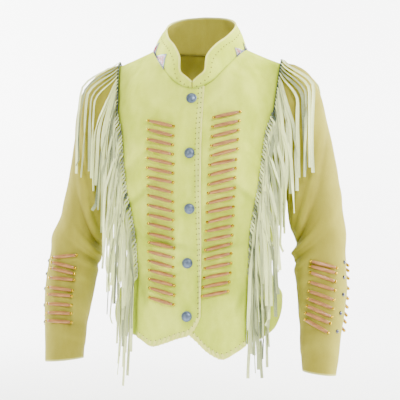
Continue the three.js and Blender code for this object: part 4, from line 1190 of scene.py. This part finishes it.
def fringe_finish():
    finish = Finish("fringe_suede")
    place = finish.object_place()
    blotch = finish.noise(place, 45, detail=4, stretch=(1, 1, 0.4))
    nap = finish.noise(place, 900, detail=2, stretch=(1, 1, 0.4))
    tone = (finish.attribute("tone") + blotch * 0.5 + nap * 0.3).clipped()
    # The tone runs from the pale face of the suede to a dark bluish green that is mostly painted shade.
    color = finish.mixed(tone, rgb(242, 250, 176), rgb(48, 66, 50))
    roughness = (blotch * 0.1 + 0.9).clipped()
    height = nap * 0.8 + blotch * 0.3
    return finish.surface(color, roughness, height, 0.0005, Sheen_Weight=0.3, Specular_IOR_Level=0.2)


fringe_suede = fringe_finish()
print("a strip's section has", len(SECTION), "corners")


# %% Where the strands begin and what they lie on
FRINGE_PITCH, FRINGE_WIDTH, FRINGE_THICK, FRINGE_LONG = 8.3, 7.2, 1.1, 222
LANE, LANES_IN, LANES_OUT = 7.7, 1, 3
FAN_STEP, FAN_COUNT = 7.0, 9
SETTLE, FAN_SETTLE, LANE_SETTLE = 44, 60, 120
CURLED_SHARE = 0.16
STRAND_TURNS = (0, 0, 0.9, -0.9, 1.4, -1.4, 3.1)
# Tone of a whole strand, partly random and partly painted shade: the darker ones stand for strands that lie
# in shadow.
STRAND_TONES_AND_SHADES = (0.0, 0.0, 0.1, 0.24, 0.45, 0.75)


def fringe_roots(word):
    """Equal steps along the seams: behind the shoulder, over it, down the armhole and the front."""
    side = SLEEVES[word]["side"]
    stops = [("back", z, armhole_at(z)) for z in np.linspace(-62, SHOULDER_Z, 33)]
    stops += [("front", z, armhole_at(z)) for z in np.linspace(SHOULDER_Z, JUNCTION_Z, 61)]
    stops += [("front", z, fringe_seam_at(z)) for z in np.linspace(JUNCTION_Z, -462, 181)[1:]]
    roots, travelled, before = [], 0, None
    for face, z, x in stops:
        point = body_point(face, x * side, z)
        out = body_normal(face, x * side, z)
        off = 1.2
        if face == "back" or z > JUNCTION_Z - 24:
            rise = np.clip(2 * (z - ARMPIT_Z) / (SHOULDER_Z - ARMPIT_Z) - 1, -1, 1)
            out = unit(out + np.array((0, (-1 if face == "front" else 1) * math.sqrt(1 - rise * rise), rise)))
            off += 2.8 + 3.8 * max(out[2], 0) ** 8
        if before is not None:
            travelled += np.linalg.norm(point - before)
        if travelled >= len(roots) * FRINGE_PITCH:
            roots.append({"face": face, "x": float(x), "z": float(z), "point": point, "out": out, "off": off})
        before = point
    return roots


HALVINGS = 22


def sleeve_place(shape, x, z):
    """The ring of a sleeve and the share across it that lie at places seen from the front."""
    low, high = np.zeros(x.shape), np.full(x.shape, float(LAST_RING))
    for _ in range(HALVINGS):
        middle = (low + high) / 2
        inner = shape["point"](middle, 0 * x + math.pi, False)
        outer = shape["point"](middle, 0 * x, False)
        chord = outer - inner
        beyond = chord[:, 0] * (z - inner[:, 2]) - chord[:, 2] * (x - inner[:, 0])
        low, high = np.where(beyond < 0, middle, low), np.where(beyond < 0, high, middle)
    share = ((x - inner[:, 0]) * chord[:, 0] + (z - inner[:, 2]) * chord[:, 2])
    share = share / (chord[:, 0] ** 2 + chord[:, 2] ** 2)
    return (low + high) / 2, np.clip(2 * share - 1, -0.97, 0.97)


def under_strand(shape, face, x, z):
    """What a strand lies on: the body, or the sleeve beyond the armhole."""
    body = body_point(face, x * shape["side"], z, folded=False)
    ring, reach = sleeve_place(shape, x, z)
    angle = (1 if face == "front" else -1) * np.arccos(reach)
    arm = shape["point"](ring, angle, False)
    on_body = (z < ARMPIT_Z) | (x < armhole_at(z))
    return np.stack((x * shape["side"], np.where(on_body, body[:, 1], arm[:, 1]), z), axis=1)


def heap_direction(shape, face, x, z):
    """The way strands are heaped: outwards, and upwards by the shoulder."""
    turn = np.radians(np.minimum(42, 0.28 * x))
    forward = -1 if face == "front" else 1
    lift = 1.3 * smooth((z + 100) / 90)
    return unit(np.stack((shape["side"] * np.sin(turn), forward * np.cos(turn), lift), axis=1))


# %% Strands
# Steps down the hook where a strand leaves the seam, then the count of the equal steps below
HOOK_FALLS = (0, 1.6, 3.4, 5.6, 8.5, 12, 16, 21, 28, 36, 44)
LOWER_STEPS = 18


def strand(shape, root, rest_x, length, chance):
    """One strand: its strip and the tone of each of its points."""
    lower = np.linspace(HOOK_FALLS[-1], length, LOWER_STEPS + 1)[1:]
    fall = np.concatenate((HOOK_FALLS, lower))
    hook = 6.5 if root["face"] == "front" and root["z"] < -112 else 2.0
    swing = chance.uniform(-5, 5) * np.sin(fall / chance.uniform(38, 75) + chance.uniform(0, 6))
    sway = (swing + chance.uniform(-5, 5)) * fall / length
    settle = FAN_SETTLE if rest_x - root["x"] > 30 else LANE_SETTLE
    x = lerp(root["x"], rest_x, smooth(fall / settle)) - hook * np.exp(-(((fall - 5) / 4.5) ** 2)) + sway
    z = root["z"] - fall + 3.0 * np.exp(-(((fall - 4) / 3.4) ** 2))
    out = heap_direction(shape, root["face"], x, z)
    settled = root["off"] + 4.4 + 0.15 * np.minimum(fall, SETTLE) + 0.034 * np.maximum(fall - SETTLE, 0)
    off = lerp(root["off"] + 0.4, settled, smooth(fall / 7)) + chance.uniform(-0.3, 0.5)
    under = under_strand(shape, root["face"], x, z)
    forward = -1 if root["face"] == "front" else 1
    under[:, 1] = forward * np.maximum.accumulate(np.abs(under[:, 1]))
    path = under + out * off[:, None]
    path[0] = root["point"] + root["out"] * (root["off"] + 0.4)
    if chance.random() < CURLED_SHARE:
        curl = smooth((fall - length + 26) / 26) ** 2
        path = path + np.stack((chance.choice((-1, 1)) * 7 * curl, forward * 2.5 * curl, 5 * curl), axis=1)
    lean = math.radians(chance.uniform(-16, 16))
    turned_by = chance.choice(STRAND_TURNS) * smooth((fall - chance.uniform(50, 150)) / 60)
    width = chance.uniform(0.88, 1.05) * FRINGE_WIDTH * lerp(0.4, 1, smooth((fall - 3) / 15))
    made = strip(path, out, width, FRINGE_THICK, lean * smooth(fall / 30) + turned_by, cup=0.9)
    # Painted shade darkens each strand at its root, under the hook; the tone also varies along the strand.
    shade = chance.choice(STRAND_TONES_AND_SHADES) + 0.12 * np.exp(-((fall / 11) ** 2))
    shade = shade + 0.12 * np.sin(fall / 31 + chance.uniform(0, 6))
    return made, np.repeat(shade, len(SECTION))


def pick_lane(x, used, turn):
    """The lane that has been free longest among those near a root."""
    nearest = round(x / LANE)
    lanes = range(nearest - LANES_IN, nearest + LANES_OUT + 1)
    best = min(lanes, key=lambda lane: (used.get(lane, -99), abs(lane - nearest)))
    used[best] = turn
    return best * LANE


for word, shape in SLEEVES.items():
    chance = random.Random(21 if word == "right" else 22)
    roots = fringe_roots(word)
    top = next(i for i, root in enumerate(roots) if root["face"] == "front")
    made, tones, used = [], [], {}
    for turn, root in enumerate(roots[1:-1], 1):
        spread = turn - top
        rank = FAN_COUNT + 1 + spread if spread < 0 else FAN_COUNT - spread
        fanned = spread < FAN_COUNT
        rest_x = root["x"] + FAN_STEP * rank if fanned else pick_lane(root["x"], used, turn)
        length = FRINGE_LONG + 11 * math.sin(turn * 2.4) + 7 * math.sin(turn * 5.1)
        piece, tone = strand(shape, root, rest_x, length, chance)
        made.append(piece)
        tones.append(tone)
    seam_path = np.array([root["point"] + root["out"] * (root["off"] + 0.2) for root in roots])
    seam_out = np.array([root["out"] for root in roots])
    # The strip along the seam takes the darkest tone: painted shade in the gaps between the roots.
    made.append(strip(seam_path, seam_out, 3.6, 1.2))
    tones.append(np.full(len(SECTION) * len(seam_path), 1.0))
    joined_strips(f"fringe_{word}_strands", made, [fringe_suede], tones)
    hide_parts(f"fringe_{word}")
    print(f"fringe {word}:", len(made) - 1, "strands")

# %% [markdown]
# ## Laced edges
#
# A thong of pale suede is laced over the closing edge and both hems: it comes up through a hole,
# crosses the band and goes over the edge. The collar has only a row of holes below its free edge.

# %% Lacing
def inset_track(points, normals, border, inset, pitch, start):
    """Places at equal steps along a border of a grid, some way in from it, and the way out."""
    both = np.concatenate((points, normals), axis=-1)
    inward = {"start": both, "low": both.transpose(1, 0, 2), "high": both[::-1].transpose(1, 0, 2)}
    lines = inward[border][:, :40]
    steps = np.linalg.norm(np.diff(lines[..., :3], axis=1), axis=-1)
    reach = np.concatenate((np.zeros((len(lines), 1)), np.cumsum(steps, axis=1)), axis=1)
    track = np.array(
        [[np.interp(inset, far, line[:, k]) for k in range(6)] for line, far in zip(lines, reach)])
    run = np.concatenate(([0], np.cumsum(np.linalg.norm(np.diff(track[:, :3], axis=0), axis=1))))
    at = np.arange(start, run[-1] - 2, pitch)
    found = np.stack([np.interp(at, run, track[:, k]) for k in range(6)], axis=-1)
    return found[:, :3], unit(found[:, 3:])


def hole_places(spots, outs):
    return [(spot + out * 0.35, basis(out, (1, 0.1, 0))) for spot, out in zip(spots, outs)]


def laced(points, normals, border, inset, pitch, start):
    """Stitches from a row of holes over an edge, and the holes."""
    holes, outs = inset_track(points, normals, border, inset, pitch, start)
    edges, _ = inset_track(points, normals, border, 0.0, pitch, start + pitch / 2)
    stitches = []
    for hole, edge, out in zip(holes, edges, outs):
        share = np.array((0, 0.07, 0.3, 0.65, 0.95, 1.07, 1.08))[:, None]
        high = np.array((-0.4, 0.55, 0.9, 0.9, 0.6, -0.5, -1.6))[:, None]
        path = hole + (edge - hole) * share + out * high
        stitches.append(strip(path, np.tile(out, (len(path), 1)), 4.6, 0.8, cup=0.2))
    return stitches, hole_places(holes, outs)


right, left, neck = fronts["right"], fronts["left"], {"skin": collar_skin, "out": collar_out}
# Panel, border, inset, pitch and start of each row of stitches, and of each row of bare holes
LACED_ROWS = [(right, "low", 11, 10.5, 14), (left, "low", 11, 10.5, 8)]
HOLE_ROWS = [(right, "start", 5.0, 11, 11.5), (right, "start", 12.0, 11, 6), (neck, "high", 16, 10.5, 8)]
BOUND_EDGES = [(right, "start"), (right, "low"), (left, "low"), (neck, "high")]
all_stitches, all_holes = [], []
for panel, *row in LACED_ROWS:
    stitches, holes = laced(panel["skin"], panel["out"], *row)
    all_stitches += stitches
    all_holes += holes
for panel, *row in HOLE_ROWS:
    all_holes += hole_places(*inset_track(panel["skin"], panel["out"], *row))
for panel, border in BOUND_EDGES:
    path, ways = inset_track(panel["skin"], panel["out"], border, 0.6, 4.0, 0.5)
    all_stitches.append(strip(path - ways * 0.5, ways, 3.0, 2.6, cup=-0.5))
joined_strips("lacing", all_stitches, [lace])
strung("lace_holes", hole_model, all_holes)
print("stitches:", len(all_stitches), "holes:", len(all_holes))

# %% [markdown]
# ## Beadwork of the collar
#
# Seed beads are sewn on in rows that follow the neck seam: a dark line along the seam, and two
# triangles on each side that point to the free edge. Each has a light border, a pink ground and a
# red cross in the middle. The triangles further back can't be seen in the photograph and repeat
# those in front.

# %% Seed beads
BEAD_PITCH = 2.1
# Side, first and last angle from the closing, rows, and the border's colour
TRIANGLES = [
    (-1, 40, 61, 14, "sky"), (-1, 64, 88, 13, "sky"), (1, 57, 72, 10, "lilac"), (1, 76, 90, 9, "navy"),
]
SEAM_LINES = ((-1, 40), (1, 57))
BEAD_COLORS = list(GLASS)


def bead_color(row, across, count, border):
    """The colour of a bead from its row and its place across that row."""
    edge = min(across, count - 1 - across)
    if edge == 0:
        return border
    if edge == 1:
        return "white"
    middle = abs(across - (count - 1) / 2)
    if (middle < 1 and 1 < row < 9) or (middle < 3 and 4 <= row <= 5):
        return "red"
    return "pink" if (row + across) % 5 else "purple"


def bead_at(side, angle, row):
    turn = side * (180 - angle)

    def surface(at_turn, at_row):
        foot, rim = collar_point(at_turn, 0.0), collar_point(at_turn, 1.0)
        high = np.linalg.norm(rim - foot)
        return collar_point(at_turn, (2.2 + BEAD_PITCH * at_row) / high)
    point, around, up, out = on_cloth(surface, turn, row, 1.0, 0.5)
    away = np.array((side * math.sin(math.radians(angle)), -math.cos(math.radians(angle)), 0.2))
    out = out * (1 if out @ away > 0 else -1)
    return point + out * 0.75, basis(around, out)


places, kinds = [], []
for side, first, last, rows, border in TRIANGLES:
    foot_length = np.linalg.norm(bead_at(side, first, 0)[0] - bead_at(side, last, 0)[0])
    for row in range(2, rows):
        share = row / rows / 2
        low, high = lerp(first, last, share), lerp(last, first, share)
        count = max(1, round(foot_length * (1 - 2 * share) / BEAD_PITCH))
        for across in range(count):
            angle = lerp(low, high, (across + 0.5) / count)
            places.append(bead_at(side, angle, row))
            kinds.append(BEAD_COLORS.index(bead_color(row, across, count, border)))
for side, first in SEAM_LINES:
    for row in (0, 1):
        for angle in np.arange(first, 179, 1.15):
            places.append(bead_at(side, angle, row))
            kinds.append(BEAD_COLORS.index("navy"))
strung("collar_beads", seed_model, places, [glass[name] for name in BEAD_COLORS], kinds)
print("seed beads:", len(places))

# %% [markdown]
# ## Last steps
#
# The models that everything was copied from are removed. The size that each panel was cut to is
# printed. No pattern is known, so this is an estimate worked back from the finished shape: the
# longest row and column of the panel's grid, and its area.

# %% Sizes of the cut panels
for model in (pipe_model, ball_model, stud_model, seed_model, hole_model, snap_model):
    discard(model)


def cut_size(points, tube=False):
    """The width and length that a panel was cut to, in metres."""
    around = np.concatenate((points, points[:, :1]), axis=1) if tube else points
    width = np.linalg.norm(np.diff(around, axis=1), axis=-1).sum(axis=1).max()
    length = np.linalg.norm(np.diff(points, axis=0), axis=-1).sum(axis=0).max()
    area = outer_area(around)
    return (float(width * MM), float(length * MM)), min(area, float(width * length) * MM * MM)


def declare(piece, points, tube=False):
    flat, area = cut_size(points, tube)
    print(piece.name, "cut", [round(side, 3) for side in flat], "area", round(area, 4))


declare(back, back_points)
for word, front in fronts.items():
    declare(front["piece"], front["grid"])
declare(collar, collar_points)
for word, shape in SLEEVES.items():
    declare(sides[word]["piece"], sides[word]["grid"])
    declare(shape["piece"], shape["grid"], tube=True)
